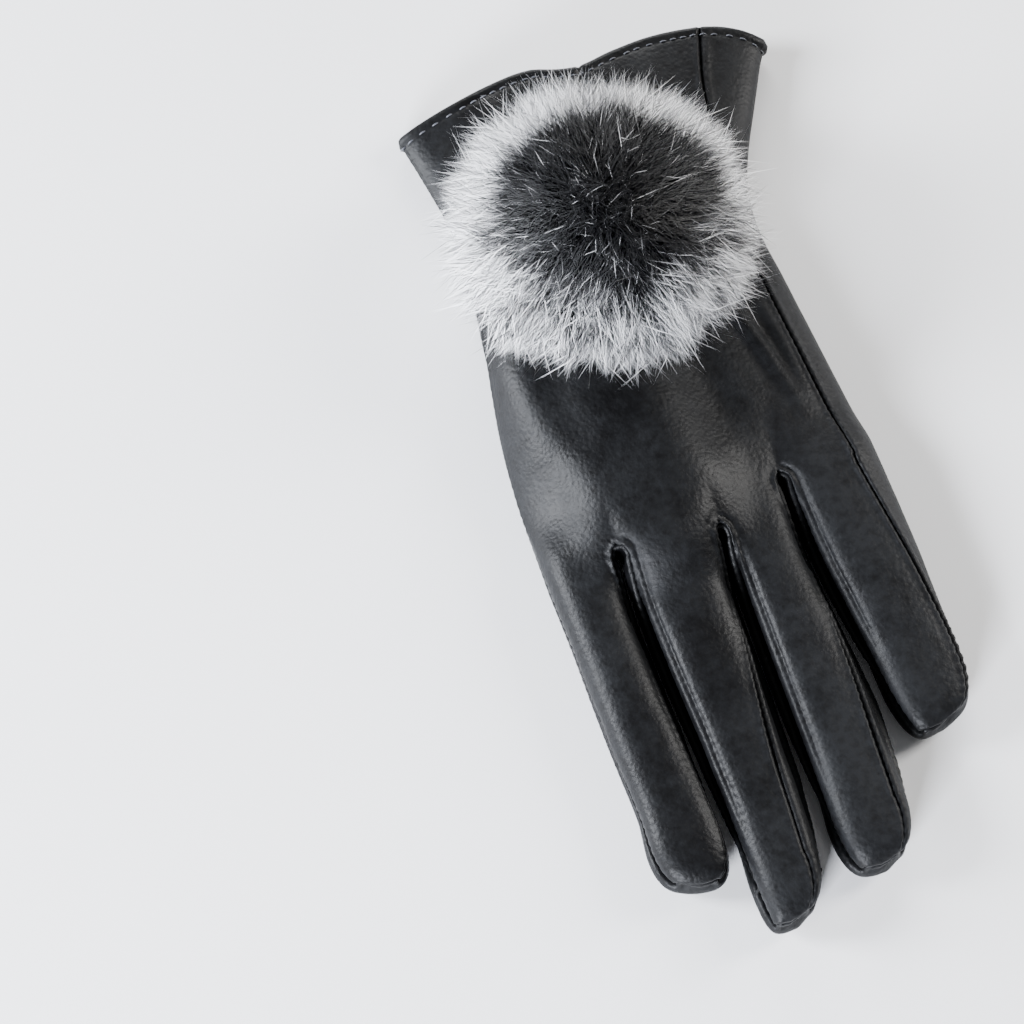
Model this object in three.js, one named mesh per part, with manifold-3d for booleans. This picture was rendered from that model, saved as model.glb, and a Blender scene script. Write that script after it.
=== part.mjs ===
// A left-hand dress glove in black faux leather with a round fur pompom at the wrist, lying palm down.
//
// Frame: millimetres, +Z up. The glove lies on z = 0 with its cuff towards +Y, its fingers towards -Y, its index
// side towards -X and its little-finger side towards +X. The thumb is folded flat under the palm.
//
// The leather is one skin of quads: a palm part of four columns, each of which runs on into a finger, with side
// strips (fourchettes) between the fingers. The skin is cut along its seams into panels, each thickened inwards.
import * as THREE from "three";
import { mergeVertices } from "three/addons/utils/BufferGeometryUtils.js";
import Module from "manifold-3d";

const wasm = await Module();
wasm.setup();
const { lerp, smoothstep, degToRad } = THREE.MathUtils;

// Leather, seams and pieces
const WALL = 1.4; // faux leather with the thin backing bonded to it
const SEAM_GAP = 0.3; // clear space between neighbouring pieces
const SIDE_LEVEL = 4.6; // height of the outer side edges of the hand
const SEAM_TOP = 8.8; // height of the seam between a finger's back and its fourchette
const SEAM_LOW = 3.2; // height of the seam between a fourchette and the palm side
const FOURCHETTE_BULGE = 1.1; // how far a fourchette swells past its two seams

// How the skin is divided
const PALM_ROWS = 13; // from the hem to the roots of the fingers
const FINGER_ROWS = 7; // along the straight part of a finger
const TIP_ROWS = 4; // round the tip of a finger
const COLUMNS = 6; // across the back or the palm side of one finger
const WRAP_COLUMNS = 2; // across the strip of palm leather that laps over the little-finger side
const WALL_COLUMNS = 2; // from a fourchette's upper seam to its lower one
const ROOT_CROWDING = 2.2; // above 1 the rows lie closer together where two fingers part
const TIP_CROWDING = 1.3; // above 1 the rows lie closer together where a tip starts to round off

// Outer edges of the hand and cuff, and the seam on the back where the palm leather laps over the little-finger side
const HAND = [
  { y: 118, indexSide: -53.4, littleSide: 55.6, lapSeam: 34.4 },
  { y: 109, indexSide: -51.5, littleSide: 51.6, lapSeam: 31.6 },
  { y: 96, indexSide: -48.6, littleSide: 45.6, lapSeam: 28.2 },
  { y: 83, indexSide: -46.0, littleSide: 39.2, lapSeam: 26.4 },
  { y: 70, indexSide: -44.9, littleSide: 34.4, lapSeam: 25.6 },
  { y: 57, indexSide: -45.4, littleSide: 33.2, lapSeam: 25.4 },
  { y: 40, indexSide: -47.6, littleSide: 35.0, lapSeam: 26.3 },
  { y: 20, indexSide: -49.9, littleSide: 37.2, lapSeam: 28.3 },
  { y: 0, indexSide: -50.8, littleSide: 39.0, lapSeam: 30.4 },
  { y: -19, indexSide: -49.9, littleSide: 40.0, lapSeam: 33.0 },
  { y: -35, indexSide: -48.7, littleSide: 40.5, lapSeam: 35.4 },
  { y: -48, indexSide: -47.8, littleSide: 40.7, lapSeam: 37.4 },
  { y: -62, indexSide: -46.8, littleSide: 40.8, lapSeam: 39.0 },
  { y: -84, indexSide: -45.2, littleSide: 40.0, lapSeam: 39.6 },
];

// Inner edges of the fingers, clear of the roots
const FINGER_EDGES = [
  { y: -12, indexIn: -32.6, middleLeft: -30.2, middleRight: -7.6, ringLeft: -4.6, ringRight: 12.0, littleIn: 14.6 },
  { y: -30, indexIn: -32.6, middleLeft: -29.2, middleRight: -7.8, ringLeft: -4.2, ringRight: 12.3, littleIn: 15.9 },
  { y: -50, indexIn: -32.0, middleLeft: -27.8, middleRight: -7.8, ringLeft: -3.4, ringRight: 13.9, littleIn: 18.6 },
  { y: -70, indexIn: -30.2, middleLeft: -26.2, middleRight: -7.6, ringLeft: -2.8, ringRight: 16.1, littleIn: 21.2 },
  { y: -90, indexIn: -28.2, middleLeft: -24.9, middleRight: -6.9, ringLeft: -2.4, ringRight: 17.8, littleIn: 23.2 },
  { y: -110, indexIn: -27.4, middleLeft: -24.2, middleRight: -6.9, ringLeft: -2.4, ringRight: 17.8, littleIn: 24.4 },
];

// Fingers: where the tip starts to round off, where it ends, how high the finger stands, and its two roots
const FINGERS = [
  { name: "index", roundFrom: -90, tip: -103.2, height: 13.4, leftRoot: -17.0, rightRoot: -20.6 },
  { name: "middle", roundFrom: -103, tip: -118.4, height: 14.2, leftRoot: -20.6, rightRoot: -22.0 },
  { name: "ring", roundFrom: -96, tip: -110.6, height: 14.0, leftRoot: -22.0, rightRoot: -11.6 },
  { name: "little", roundFrom: -69, tip: -83.8, height: 13.0, leftRoot: -11.6, rightRoot: -9.0 },
];
const EDGE_COLUMNS = [
  ["indexSide", "indexIn"],
  ["middleLeft", "middleRight"],
  ["ringLeft", "ringRight"],
  ["littleIn", "littleSide"],
];
const CROTCH_X = [-31.3, -6.2, 13.3]; // where two fingers part: index and middle, middle and ring, ring and little
const GAP_OPENS_OVER = 3; // length of the rounded end of the gap between two fingers
const TIP_WIDTH = 0.3; // width of the blunt line that closes a tip, as a share of the finger's width
const FOURCHETTE_TAPERS = { from: -0.8, to: 0.25 }; // in shares of the finger before its tip and of the rounded tip

// Hem of the cuff: two rounded lobes, one each side of the slit in the back
const HEM = [
  { across: 0.0, y: 109.2 },
  { across: 0.17, y: 113.8 },
  { across: 0.28, y: 116.4 },
  { across: 0.37, y: 117.4 },
  { across: 0.44, y: 115.4 },
  { across: 0.5, y: 115.0 },
  { across: 0.58, y: 117.0 },
  { across: 0.69, y: 118.5 },
  { across: 0.83, y: 117.6 },
  { across: 0.92, y: 114.6 },
  { across: 1.0, y: 110.0 },
];
const SLIT_ROWS = 3; // rows of the skin that the slit parts, counted from the hem

// Height of the back along the hand
const BACK = [
  { y: 118, top: 11.6 },
  { y: 96, top: 12.4 },
  { y: 62, top: 13.6 },
  { y: 30, top: 15.6 },
  { y: 0, top: 16.4 },
  { y: -22, top: 15.8 },
];
const KNUCKLE_FADE = 26; // length over which the ridges of the fingers die out into the back
const BACK_ROUNDNESS = 2.5; // exponents of the cross-sections: 2 is an ellipse, more is boxier
const FINGER_ROUNDNESS = 2.3;
const SOLE_FLATNESS = 6;

// Thumb: a flat pouch under the palm, from its heel to its tip
const THUMB_HEEL = new THREE.Vector2(-31, 48);
const THUMB_TIP = new THREE.Vector2(-17, -20);
const THUMB_HALF_WIDTHS = { heel: 13, tip: 9.5 };
const THUMB_HEIGHT = 8.4;
const THUMB_STATIONS = 10;
const THUMB_SIDES = 16;
const THUMB_HOLE = { along: 0.27, halfLength: 13, halfWidth: 8 }; // where the thumb opens into the palm
const LIFT_REACH = 17; // how far from the thumb the palm comes back down to the surface
const BACK_LIFT = 0.85; // share of that lift which reaches the back

// Pompom
const POM_CENTRE = new THREE.Vector3(-9.5, 62.5, 18);
const POM_HEAD_RADIUS = 28; // fur packed too densely to part
const POM_HEAD_HEIGHT = 22;
const POM_RADIUS = 38.5; // to the tips of the locks
const POM_HEIGHT = 32;
const LOCK_SIDES = 5;
const LOCK_ROWS = [
  { tilt: 3, count: 24, girth: 6.2 },
  { tilt: 21, count: 22, girth: 6.4 },
  { tilt: 39, count: 17, girth: 6.6 },
  { tilt: 57, count: 11, girth: 6.6 },
  { tilt: 76, count: 5, girth: 6.4 },
];

// Reads one column of a table at a place along y or across, on a smooth curve through its rows.
function read(rows, key, column, at) {
  const rising = rows[rows.length - 1][key] > rows[0][key];
  const ordered = rising ? rows : [...rows].reverse();
  const last = ordered.length - 1;
  const place = Math.min(Math.max(at, ordered[0][key]), ordered[last][key]);
  const i = Math.min(ordered.findLastIndex((row) => row[key] <= place), last - 1);
  const slope = (a, b) => (ordered[b][column] - ordered[a][column]) / (ordered[b][key] - ordered[a][key]);
  const slopeAt = (k) => slope(Math.max(k - 1, 0), Math.min(k + 1, last));
  const span = ordered[i + 1][key] - ordered[i][key];
  const t = (place - ordered[i][key]) / span;
  return (
    (2 * t ** 3 - 3 * t ** 2 + 1) * ordered[i][column] +
    (t ** 3 - 2 * t ** 2 + t) * span * slopeAt(i) +
    (3 * t ** 2 - 2 * t ** 3) * ordered[i + 1][column] +
    (t ** 3 - t ** 2) * span * slopeAt(i + 1)
  );
}

// Height of a rounded arch at p, from 0 at p = -1 and 1 to 1 in the middle.
function arch(p, roundness) {
  return Math.abs(p) > 1 - 1e-9 ? 0 : (1 - Math.abs(p) ** roundness) ** (1 / roundness);
}

function thumbHalfWidth(along) {
  return lerp(THUMB_HALF_WIDTHS.heel, THUMB_HALF_WIDTHS.tip, along);
}

// How much the thumb lifts what lies over it, at a point of the plan.
function thumbLift(x, y) {
  const axis = THUMB_TIP.clone().sub(THUMB_HEEL);
  const point = new THREE.Vector2(x, y).sub(THUMB_HEEL);
  const share = point.dot(axis) / axis.lengthSq();
  const halfWidth = thumbHalfWidth(Math.min(Math.max(share, 0), 1));
  const inset = halfWidth / axis.length();
  const along = Math.min(Math.max(share, inset), 1 - inset);
  const distance = point.distanceTo(axis.multiplyScalar(along));
  const clear = THUMB_HEIGHT + 1.5 * SEAM_GAP;
  return clear * (1 - smoothstep(distance, halfWidth + 1, halfWidth + LIFT_REACH));
}

function rootY(finger, p) {
  return lerp(FINGERS[finger].leftRoot, FINGERS[finger].rightRoot, (p + 1) / 2);
}

// The edges of a finger's column at y: outer edges of the hand, the fingers' own edges, or the lines that lead to
// the places where two fingers part.
function columnEdge(finger, side, y) {
  const outer = (finger === 0 && side === 0) || (finger === FINGERS.length - 1 && side === 1);
  const name = EDGE_COLUMNS[finger][side];
  if (outer) return read(HAND, "y", name, y);
  const crotch = CROTCH_X[finger - 1 + side];
  const crotchY = side === 0 ? FINGERS[finger].leftRoot : FINGERS[finger].rightRoot;
  if (y <= crotchY) {
    const opened = Math.sqrt(1 - Math.max(0, 1 - (crotchY - y) / GAP_OPENS_OVER) ** 2);
    return lerp(crotch, read(FINGER_EDGES, "y", name, y), opened);
  }
  const evenly = lerp(
    read(HAND, "y", "indexSide", y),
    read(HAND, "y", "littleSide", y),
    (finger + side) / FINGERS.length,
  );
  return lerp(crotch, evenly, smoothstep(y - crotchY, 0, 60));
}

// Seam levels of a finger's two sides at a share of its rounded tip: the fourchette runs out to a point.
function seamLevels(finger, side, rounded) {
  const outer = (finger === 0 && side === 0) || (finger === FINGERS.length - 1 && side === 1);
  const middle = SIDE_LEVEL + 0.6;
  if (outer) return { top: SIDE_LEVEL, low: SIDE_LEVEL };
  const { from, to } = FOURCHETTE_TAPERS;
  const left = Math.min(Math.max((to - rounded) / (to - from), 0), 1);
  return { top: lerp(middle, SEAM_TOP, left), low: lerp(middle, SEAM_LOW, left) };
}

// Where a row of the skin lies at p across a finger's column. Rows run from the hem to the roots, then along the
// fingers, then round the tips.
function station(finger, p, row) {
  const { roundFrom, tip } = FINGERS[finger];
  const root = rootY(finger, p);
  if (row <= PALM_ROWS) {
    const t = row / PALM_ROWS;
    const across = (finger + (p + 1) / 2) / FINGERS.length;
    return { y: lerp(read(HEM, "across", "y", across), root, t), width: 1, height: 1, rounded: -1 };
  }
  if (row <= PALM_ROWS + FINGER_ROWS) {
    const t = (row - PALM_ROWS) / FINGER_ROWS;
    return { y: lerp(root, roundFrom, t ** ROOT_CROWDING), width: 1, height: 1, rounded: t - 1 };
  }
  const turn = (row - PALM_ROWS - FINGER_ROWS) / TIP_ROWS;
  const angle = (turn ** TIP_CROWDING * Math.PI) / 2;
  const bow = 0.9 * p * p * Math.sin(angle);
  return {
    y: lerp(roundFrom, tip, Math.sin(angle)) + bow,
    width: TIP_WIDTH + (1 - TIP_WIDTH) * Math.cos(angle),
    height: Math.cos(angle) ** 0.55,
    rounded: turn,
  };
}

// A point of the skin. Share goes from 0 at the back to 1 at the palm side; only fourchettes lie between.
function skinPoint(finger, p, row, share) {
  const { y, width, height, rounded } = station(finger, p, row);
  const left = columnEdge(finger, 0, y);
  const right = columnEdge(finger, 1, y);
  const x = (left + right) / 2 + ((right - left) / 2) * width * p;
  const levels = [0, 1].map((side) => seamLevels(finger, side, rounded));
  const seamTop = lerp(levels[0].top, levels[1].top, (p + 1) / 2);
  const seamLow = lerp(levels[0].low, levels[1].low, (p + 1) / 2);
  const finTop = seamTop + (FINGERS[finger].height - seamTop) * arch(p, FINGER_ROUNDNESS) * height;
  const finLow = seamLow * (1 - arch(p, SOLE_FLATNESS - 2) * height);
  let top = finTop;
  let low = finLow;
  if (row < PALM_ROWS) {
    const edges = [read(HAND, "y", "indexSide", y), read(HAND, "y", "littleSide", y)];
    const c = (2 * (x - edges[0])) / (edges[1] - edges[0]) - 1;
    const ridge = 1 - smoothstep(y - rootY(finger, p), 0, KNUCKLE_FADE);
    const palmTop = SIDE_LEVEL + (read(BACK, "y", "top", y) - SIDE_LEVEL) * arch(c, BACK_ROUNDNESS);
    const palmLow = SIDE_LEVEL * (1 - arch(c, SOLE_FLATNESS));
    top = lerp(palmTop, finTop, ridge);
    low = lerp(palmLow, finLow, ridge);
  }
  const opened = ((seamTop - seamLow) / (SEAM_TOP - SEAM_LOW)) * Math.min(1, Math.max(0, row - PALM_ROWS));
  const bulge = FOURCHETTE_BULGE * Math.sin(share * Math.PI) * opened;
  const z = lerp(top, low, share);
  const raised = thumbLift(x, y) * lerp(1, BACK_LIFT, smoothstep(z, SIDE_LEVEL, 2 * SIDE_LEVEL));
  return new THREE.Vector3(x + Math.sign(p) * bulge, y, z + raised);
}

// The seam of the lapped palm leather, as p in the little finger's column.
function lapSeam(row) {
  const finger = FINGERS.length - 1;
  const { y } = station(finger, 0.7, row);
  const left = columnEdge(finger, 0, y);
  const right = columnEdge(finger, 1, y);
  const p = (2 * (read(HAND, "y", "lapSeam", y) - left)) / (right - left) - 1;
  const straight = PALM_ROWS + FINGER_ROWS;
  return lerp(p, 1, smoothstep(row, straight - 1, straight + TIP_ROWS));
}

// A quad mesh whose faces belong to named panels. Vertices at one place are one vertex.
class Skin {
  points = [];
  faces = [];
  places = new Map();

  vertex(point) {
    const key = point.toArray().map((v) => Math.round(v * 500)).join();
    if (!this.places.has(key)) {
      this.places.set(key, this.points.length);
      this.points.push(point);
    }
    return this.places.get(key);
  }

  // A grid of quads: place(i, j) gives its points, and panelAt(i, j) the panel that each quad belongs to.
  grid(panelAt, rows, columns, place) {
    const ids = [];
    for (let i = 0; i <= rows; i++) {
      ids.push([]);
      for (let j = 0; j <= columns; j++) ids[i].push(this.vertex(place(i, j)));
    }
    for (let i = 0; i < rows; i++) {
      for (let j = 0; j < columns; j++) {
        const panel = panelAt(i, j);
        const [a, b, c, d] = [ids[i][j], ids[i + 1][j], ids[i + 1][j + 1], ids[i][j + 1]];
        // The diagonals mirror each other about the middle column.
        if (j >= columns / 2) {
          this.face(panel, a, b, c);
          this.face(panel, a, c, d);
        } else {
          this.face(panel, a, b, d);
          this.face(panel, b, c, d);
        }
      }
    }
  }

  face(panel, a, b, c) {
    if (a !== b && b !== c && c !== a) this.faces.push({ panel, corners: [a, b, c] });
  }

  // The skin's normal at each vertex. Each panel there has an equal say, so that along a seam both panels are cut
  // on the mitre between them.
  normals() {
    const sums = this.points.map(() => new Map());
    const face = new THREE.Triangle();
    for (const { panel, corners } of this.faces) {
      const points = corners.map((k) => this.points[k]);
      const normal = face.set(...points).getNormal(new THREE.Vector3());
      corners.forEach((k, n) => {
        const toNext = points[(n + 1) % 3].clone().sub(points[n]);
        const toLast = points[(n + 2) % 3].clone().sub(points[n]);
        if (!sums[k].has(panel)) sums[k].set(panel, new THREE.Vector3());
        sums[k].get(panel).addScaledVector(normal, toNext.angleTo(toLast));
      });
    }
    return sums.map((panels) =>
      [...panels.values()].reduce((sum, own) => sum.add(own.normalize()), new THREE.Vector3()).normalize(),
    );
  }

  // One panel as a closed solid: its outer face, the same face a wall's thickness inside, and its edges.
  panel(name) {
    const faces = this.faces.filter((face) => face.panel === name).map((face) => face.corners);
    const edges = new Map();
    for (const corners of faces) {
      const normal = new THREE.Triangle(...corners.map((k) => this.points[k])).getNormal(new THREE.Vector3());
      corners.forEach((from, n) => {
        const to = corners[(n + 1) % 3];
        const inwards = normal.clone().cross(this.points[to].clone().sub(this.points[from])).normalize();
        edges.set(`${from},${to}`, { from, to, inwards });
      });
    }
    const border = [...edges.values()].filter(({ from, to }) => !edges.has(`${to},${from}`));
    const inwards = new Map();
    for (const edge of border) {
      for (const k of [edge.from, edge.to]) {
        inwards.set(k, (inwards.get(k) ?? new THREE.Vector3()).add(edge.inwards));
      }
    }
    const used = [...new Set(faces.flat())];
    const normals = this.normals();
    const outer = used.map((k) => {
      const shift = inwards.get(k) ?? new THREE.Vector3();
      const spread = Math.max(shift.lengthSq(), 0.02);
      return this.points[k].clone().add(shift.multiplyScalar((1.3 * SEAM_GAP) / spread).clampLength(0, 1));
    });
    const inner = used.map((k, n) => outer[n].clone().addScaledVector(normals[k], -WALL));
    const id = new Map(used.map((k, n) => [k, n]));
    const back = used.length;
    const triangles = [];
    for (const corners of faces) {
      const [a, b, c] = corners.map((k) => id.get(k));
      triangles.push([a, b, c], [a + back, c + back, b + back]);
    }
    for (const edge of border) {
      // Two panels that meet here split their shared mitre along the same diagonal.
      const [from, to] = [id.get(edge.from), id.get(edge.to)];
      if (edge.from < edge.to) triangles.push([from, from + back, to], [to, from + back, to + back]);
      else triangles.push([from, from + back, to + back], [from, to + back, to]);
    }
    return geometryOf([...outer, ...inner], triangles);
  }
}

function geometryOf(points, triangles) {
  const geometry = new THREE.BufferGeometry().setFromPoints(points);
  geometry.setIndex(triangles.flat());
  return geometry;
}

// Across a column: p from -1 to 1, closer together towards the edges.
const spread = (j, columns) => -Math.cos((j / columns) * Math.PI);

function gloveSkin() {
  const skin = new Skin();
  const little = FINGERS.length - 1;
  const straight = PALM_ROWS + FINGER_ROWS;
  const rows = straight + TIP_ROWS;
  const acrossBack = (finger, j, row) => {
    const p = spread(j, COLUMNS);
    return finger < little ? p : lerp(-1, lapSeam(row), (p + 1) / 2);
  };
  const acrossLap = (j, row) => lerp(1, lapSeam(row), Math.cos(((j / WRAP_COLUMNS) * Math.PI) / 2));

  FINGERS.forEach((finger, k) => {
    const inSlit = (row, column) => k === 1 && column === COLUMNS - 1 && row < SLIT_ROWS;
    const backAt = (row, column) => (inSlit(row, column) ? "slit" : "back_panel");
    skin.grid(backAt, rows, COLUMNS, (i, j) => skinPoint(k, acrossBack(k, j, i), i, 0));
    skin.grid(() => "palm_panel", rows, COLUMNS, (i, j) => skinPoint(k, -spread(j, COLUMNS), i, 1));
  });
  skin.grid(() => "palm_panel", rows, WRAP_COLUMNS, (i, j) => skinPoint(little, acrossLap(j, i), i, 0));

  // Fourchettes: down one finger's side to where the fingers part, and out along the side of its neighbour.
  const reach = FINGER_ROWS + TIP_ROWS;
  FINGERS.slice(0, little).forEach((finger, k) => {
    const name = `fourchette_${finger.name}_${FINGERS[k + 1].name}`;
    skin.grid(() => name, 2 * reach, WALL_COLUMNS, (i, j) => {
      const along = Math.abs(i - reach) + PALM_ROWS;
      return i < reach ? skinPoint(k + 1, -1, along, j / WALL_COLUMNS) : skinPoint(k, 1, along, j / WALL_COLUMNS);
    });
  });
  return skin;
}

function solidOf(geometry) {
  const bare = geometry.index ? geometry.toNonIndexed() : geometry.clone();
  bare.deleteAttribute("normal");
  bare.deleteAttribute("uv");
  const merged = mergeVertices(bare, 1e-4);
  return new wasm.Manifold(
    new wasm.Mesh({
      numProp: 3,
      vertProperties: merged.attributes.position.array,
      triVerts: new Uint32Array(merged.index.array),
    }),
  );
}

function geometryFrom(solid) {
  const mesh = solid.getMesh();
  const geometry = new THREE.BufferGeometry();
  geometry.setAttribute("position", new THREE.BufferAttribute(Float32Array.from(mesh.vertProperties), 3));
  geometry.setIndex([...mesh.triVerts]);
  return geometry;
}

// The thumb's pouch, or with an inset the hollow inside it.
function pouch(inset) {
  const axis = THUMB_TIP.clone().sub(THUMB_HEEL);
  const length = axis.length() - 2 * inset;
  const direction = axis.clone().normalize();
  const aside = new THREE.Vector2(-direction.y, direction.x);
  const start = THUMB_HEEL.clone().addScaledVector(direction, inset);
  const middle = THUMB_HEIGHT / 2;
  const at = (along, across, z) => {
    const plan = start.clone().addScaledVector(direction, along * length).addScaledVector(aside, across);
    return new THREE.Vector3(plan.x, plan.y, z);
  };
  const points = [at(0, 0, middle)];
  for (let i = 1; i < THUMB_STATIONS; i++) {
    const along = (1 - Math.cos((i / THUMB_STATIONS) * Math.PI)) / 2;
    const swell = arch(2 * along - 1, 4);
    for (let j = 0; j < THUMB_SIDES; j++) {
      const angle = (j / THUMB_SIDES) * 2 * Math.PI;
      const flatten = (v) => Math.sign(v) * Math.abs(v) ** 0.7;
      const across = (thumbHalfWidth(along) - inset) * swell * flatten(Math.cos(angle));
      points.push(at(along, across, middle + (middle - inset) * swell ** 0.7 * flatten(Math.sin(angle))));
    }
  }
  points.push(at(1, 0, middle));
  const last = points.length - 1;
  const id = (i, j) => 1 + (i - 1) * THUMB_SIDES + (j % THUMB_SIDES);
  const triangles = [];
  for (let j = 0; j < THUMB_SIDES; j++) {
    triangles.push([0, id(1, j + 1), id(1, j)]);
    triangles.push([last, id(THUMB_STATIONS - 1, j), id(THUMB_STATIONS - 1, j + 1)]);
    for (let i = 1; i < THUMB_STATIONS - 1; i++) {
      triangles.push([id(i, j), id(i + 1, j + 1), id(i + 1, j)], [id(i, j), id(i, j + 1), id(i + 1, j + 1)]);
    }
  }
  return solidOf(geometryOf(points, triangles));
}

// Cuts the hole through which the thumb opens into the palm: an upright oval from one height to another.
function thumbHole(fromZ, toZ) {
  const axis = THUMB_TIP.clone().sub(THUMB_HEEL);
  const centre = THUMB_HEEL.clone().addScaledVector(axis, THUMB_HOLE.along);
  const oval = new THREE.CylinderGeometry(1, 1, toZ - fromZ, 16);
  oval.rotateX(Math.PI / 2);
  oval.scale(THUMB_HOLE.halfLength, THUMB_HOLE.halfWidth, 1);
  oval.rotateZ(axis.angle());
  oval.translate(centre.x, centre.y, (fromZ + toZ) / 2);
  return solidOf(oval);
}

// The dome of packed fur in the middle of the pompom.
function pomHead() {
  const dome = new THREE.SphereGeometry(1, 18, 10);
  dome.rotateX(Math.PI / 2);
  dome.scale(POM_HEAD_RADIUS, POM_HEAD_RADIUS, POM_HEAD_HEIGHT);
  dome.translate(POM_CENTRE.x, POM_CENTRE.y, POM_CENTRE.z);
  return solidOf(dome);
}

// One lock of fur: a bent, tapering cone from inside the head to the pompom's outline.
function lock(tilt, turn, girth) {
  const tip = new THREE.Vector3(Math.cos(tilt) * POM_RADIUS, 0, Math.sin(tilt) * POM_HEIGHT);
  const rings = [
    { along: 0.3, radius: girth },
    { along: 0.86, radius: girth * 0.62 },
  ];
  const side = new THREE.Vector3(0, 1, 0);
  const across = tip.clone().normalize().cross(side);
  const points = [];
  for (const { along, radius } of rings) {
    for (let j = 0; j < LOCK_SIDES; j++) {
      const angle = (j / LOCK_SIDES) * 2 * Math.PI;
      const point = tip.clone().multiplyScalar(along);
      point.addScaledVector(side, radius * Math.cos(angle)).addScaledVector(across, radius * Math.sin(angle));
      points.push(point);
    }
  }
  points.push(tip.clone().multiplyScalar(0.3), tip);
  const [foot, end] = [points.length - 2, points.length - 1];
  const triangles = [];
  for (let j = 0; j < LOCK_SIDES; j++) {
    const next = (j + 1) % LOCK_SIDES;
    triangles.push([foot, next, j], [j, next + LOCK_SIDES, j + LOCK_SIDES]);
    triangles.push([j, next, next + LOCK_SIDES], [j + LOCK_SIDES, next + LOCK_SIDES, end]);
  }
  const cone = geometryOf(points, triangles);
  cone.rotateZ(turn);
  cone.translate(POM_CENTRE.x, POM_CENTRE.y, POM_CENTRE.z);
  return solidOf(cone);
}

// What the pompom rests on: the glove's back with a seam gap's clearance, and everything below it.
function pomSeat(skin) {
  const nearby = skin.faces.filter(({ corners }) => {
    const [a, b, c] = corners.map((k) => skin.points[k]);
    return new THREE.Triangle(a, b, c).getNormal(new THREE.Vector3()).z > 0.1 && Math.min(a.y, b.y, c.y) > 0;
  });
  const edges = new Map();
  for (const { corners } of nearby) {
    corners.forEach((from, n) => edges.set(`${from},${corners[(n + 1) % 3]}`, [from, corners[(n + 1) % 3]]));
  }
  const used = [...new Set(nearby.flatMap((face) => face.corners))];
  const normals = skin.normals();
  const upper = used.map((k) => skin.points[k].clone().addScaledVector(normals[k], SEAM_GAP * 1.3));
  const lower = upper.map((point) => point.clone().setZ(point.z - 30));
  const id = new Map(used.map((k, n) => [k, n]));
  const under = used.length;
  const triangles = [];
  for (const { corners } of nearby) {
    const [a, b, c] = corners.map((k) => id.get(k));
    triangles.push([a, b, c], [a + under, c + under, b + under]);
  }
  for (const [from, to] of edges.values()) {
    if (edges.has(`${to},${from}`)) continue;
    const [a, b] = [id.get(from), id.get(to)];
    triangles.push([a, a + under, b], [b, a + under, b + under]);
  }
  return solidOf(geometryOf([...upper, ...lower], triangles));
}

function pompom(skin) {
  const parts = [pomHead()];
  LOCK_ROWS.forEach(({ tilt, count, girth }, row) => {
    for (let n = 0; n < count; n++) {
      const turn = ((n + (row % 2) / 2) / count) * 2 * Math.PI;
      parts.push(lock(degToRad(tilt), turn, girth));
    }
  });
  return wasm.Manifold.union(parts).subtract(pomSeat(skin));
}

const leather = new THREE.MeshStandardMaterial({ color: 0x17181b, roughness: 0.42, metalness: 0 });
const fourchetteLeather = new THREE.MeshStandardMaterial({ color: 0x121316, roughness: 0.5, metalness: 0 });
const fur = new THREE.MeshStandardMaterial({ color: 0xd9dbde, roughness: 0.95, metalness: 0 });

function named(name, geometry, material) {
  geometry.computeVertexNormals();
  const mesh = new THREE.Mesh(geometry, material);
  mesh.name = name;
  return mesh;
}

const skin = gloveSkin();
const glove = new THREE.Group();
glove.add(named("back_panel", skin.panel("back_panel"), leather));
const palm = solidOf(skin.panel("palm_panel")).subtract(thumbHole(THUMB_HEIGHT, THUMB_HEIGHT + 4));
glove.add(named("palm_panel", geometryFrom(palm), leather));
for (const pair of ["index_middle", "middle_ring", "ring_little"]) {
  glove.add(named(`fourchette_${pair}`, skin.panel(`fourchette_${pair}`), fourchetteLeather));
}
const thumb = pouch(0).subtract(pouch(WALL)).subtract(thumbHole(THUMB_HEIGHT / 2, THUMB_HEIGHT + 4));
glove.add(named("thumb", geometryFrom(thumb), leather));
glove.add(named("fur_pompom", geometryFrom(pompom(skin)), fur));

export default glove;
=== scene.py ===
"""Dress glove in black faux leather with a frosted fur pompom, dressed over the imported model.

Frame: +Z up, cuff towards +Y, fingers towards -Y, index side towards -X, little-finger side towards +X.
Shapes are worked out in millimetres and turned to metres when a mesh is made.
"""

from __future__ import annotations

import logging
import math
from dataclasses import dataclass, field
from enum import Enum

import bpy
import numpy as np
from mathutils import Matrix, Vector, kdtree

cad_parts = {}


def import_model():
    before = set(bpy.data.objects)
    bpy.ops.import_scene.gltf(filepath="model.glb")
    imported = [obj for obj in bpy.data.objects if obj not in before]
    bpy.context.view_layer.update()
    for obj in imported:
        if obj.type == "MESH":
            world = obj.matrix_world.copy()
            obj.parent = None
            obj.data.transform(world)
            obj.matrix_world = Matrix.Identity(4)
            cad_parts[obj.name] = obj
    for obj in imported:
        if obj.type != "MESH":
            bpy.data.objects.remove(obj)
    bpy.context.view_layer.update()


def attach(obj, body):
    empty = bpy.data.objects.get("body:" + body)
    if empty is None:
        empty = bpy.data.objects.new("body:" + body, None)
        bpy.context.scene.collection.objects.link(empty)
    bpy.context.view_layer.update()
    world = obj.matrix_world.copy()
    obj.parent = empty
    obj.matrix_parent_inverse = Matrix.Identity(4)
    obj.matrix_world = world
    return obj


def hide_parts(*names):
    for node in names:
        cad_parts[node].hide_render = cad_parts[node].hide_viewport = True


log = logging.getLogger("glove")
MM = 0.001
ABOVE_FLOOR = 0.02  # how far the lowest points stand above the ground, in mm
GOLDEN_ANGLE = 2.399963  # radians; a turn that leaves no rows among points on a dome


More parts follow.
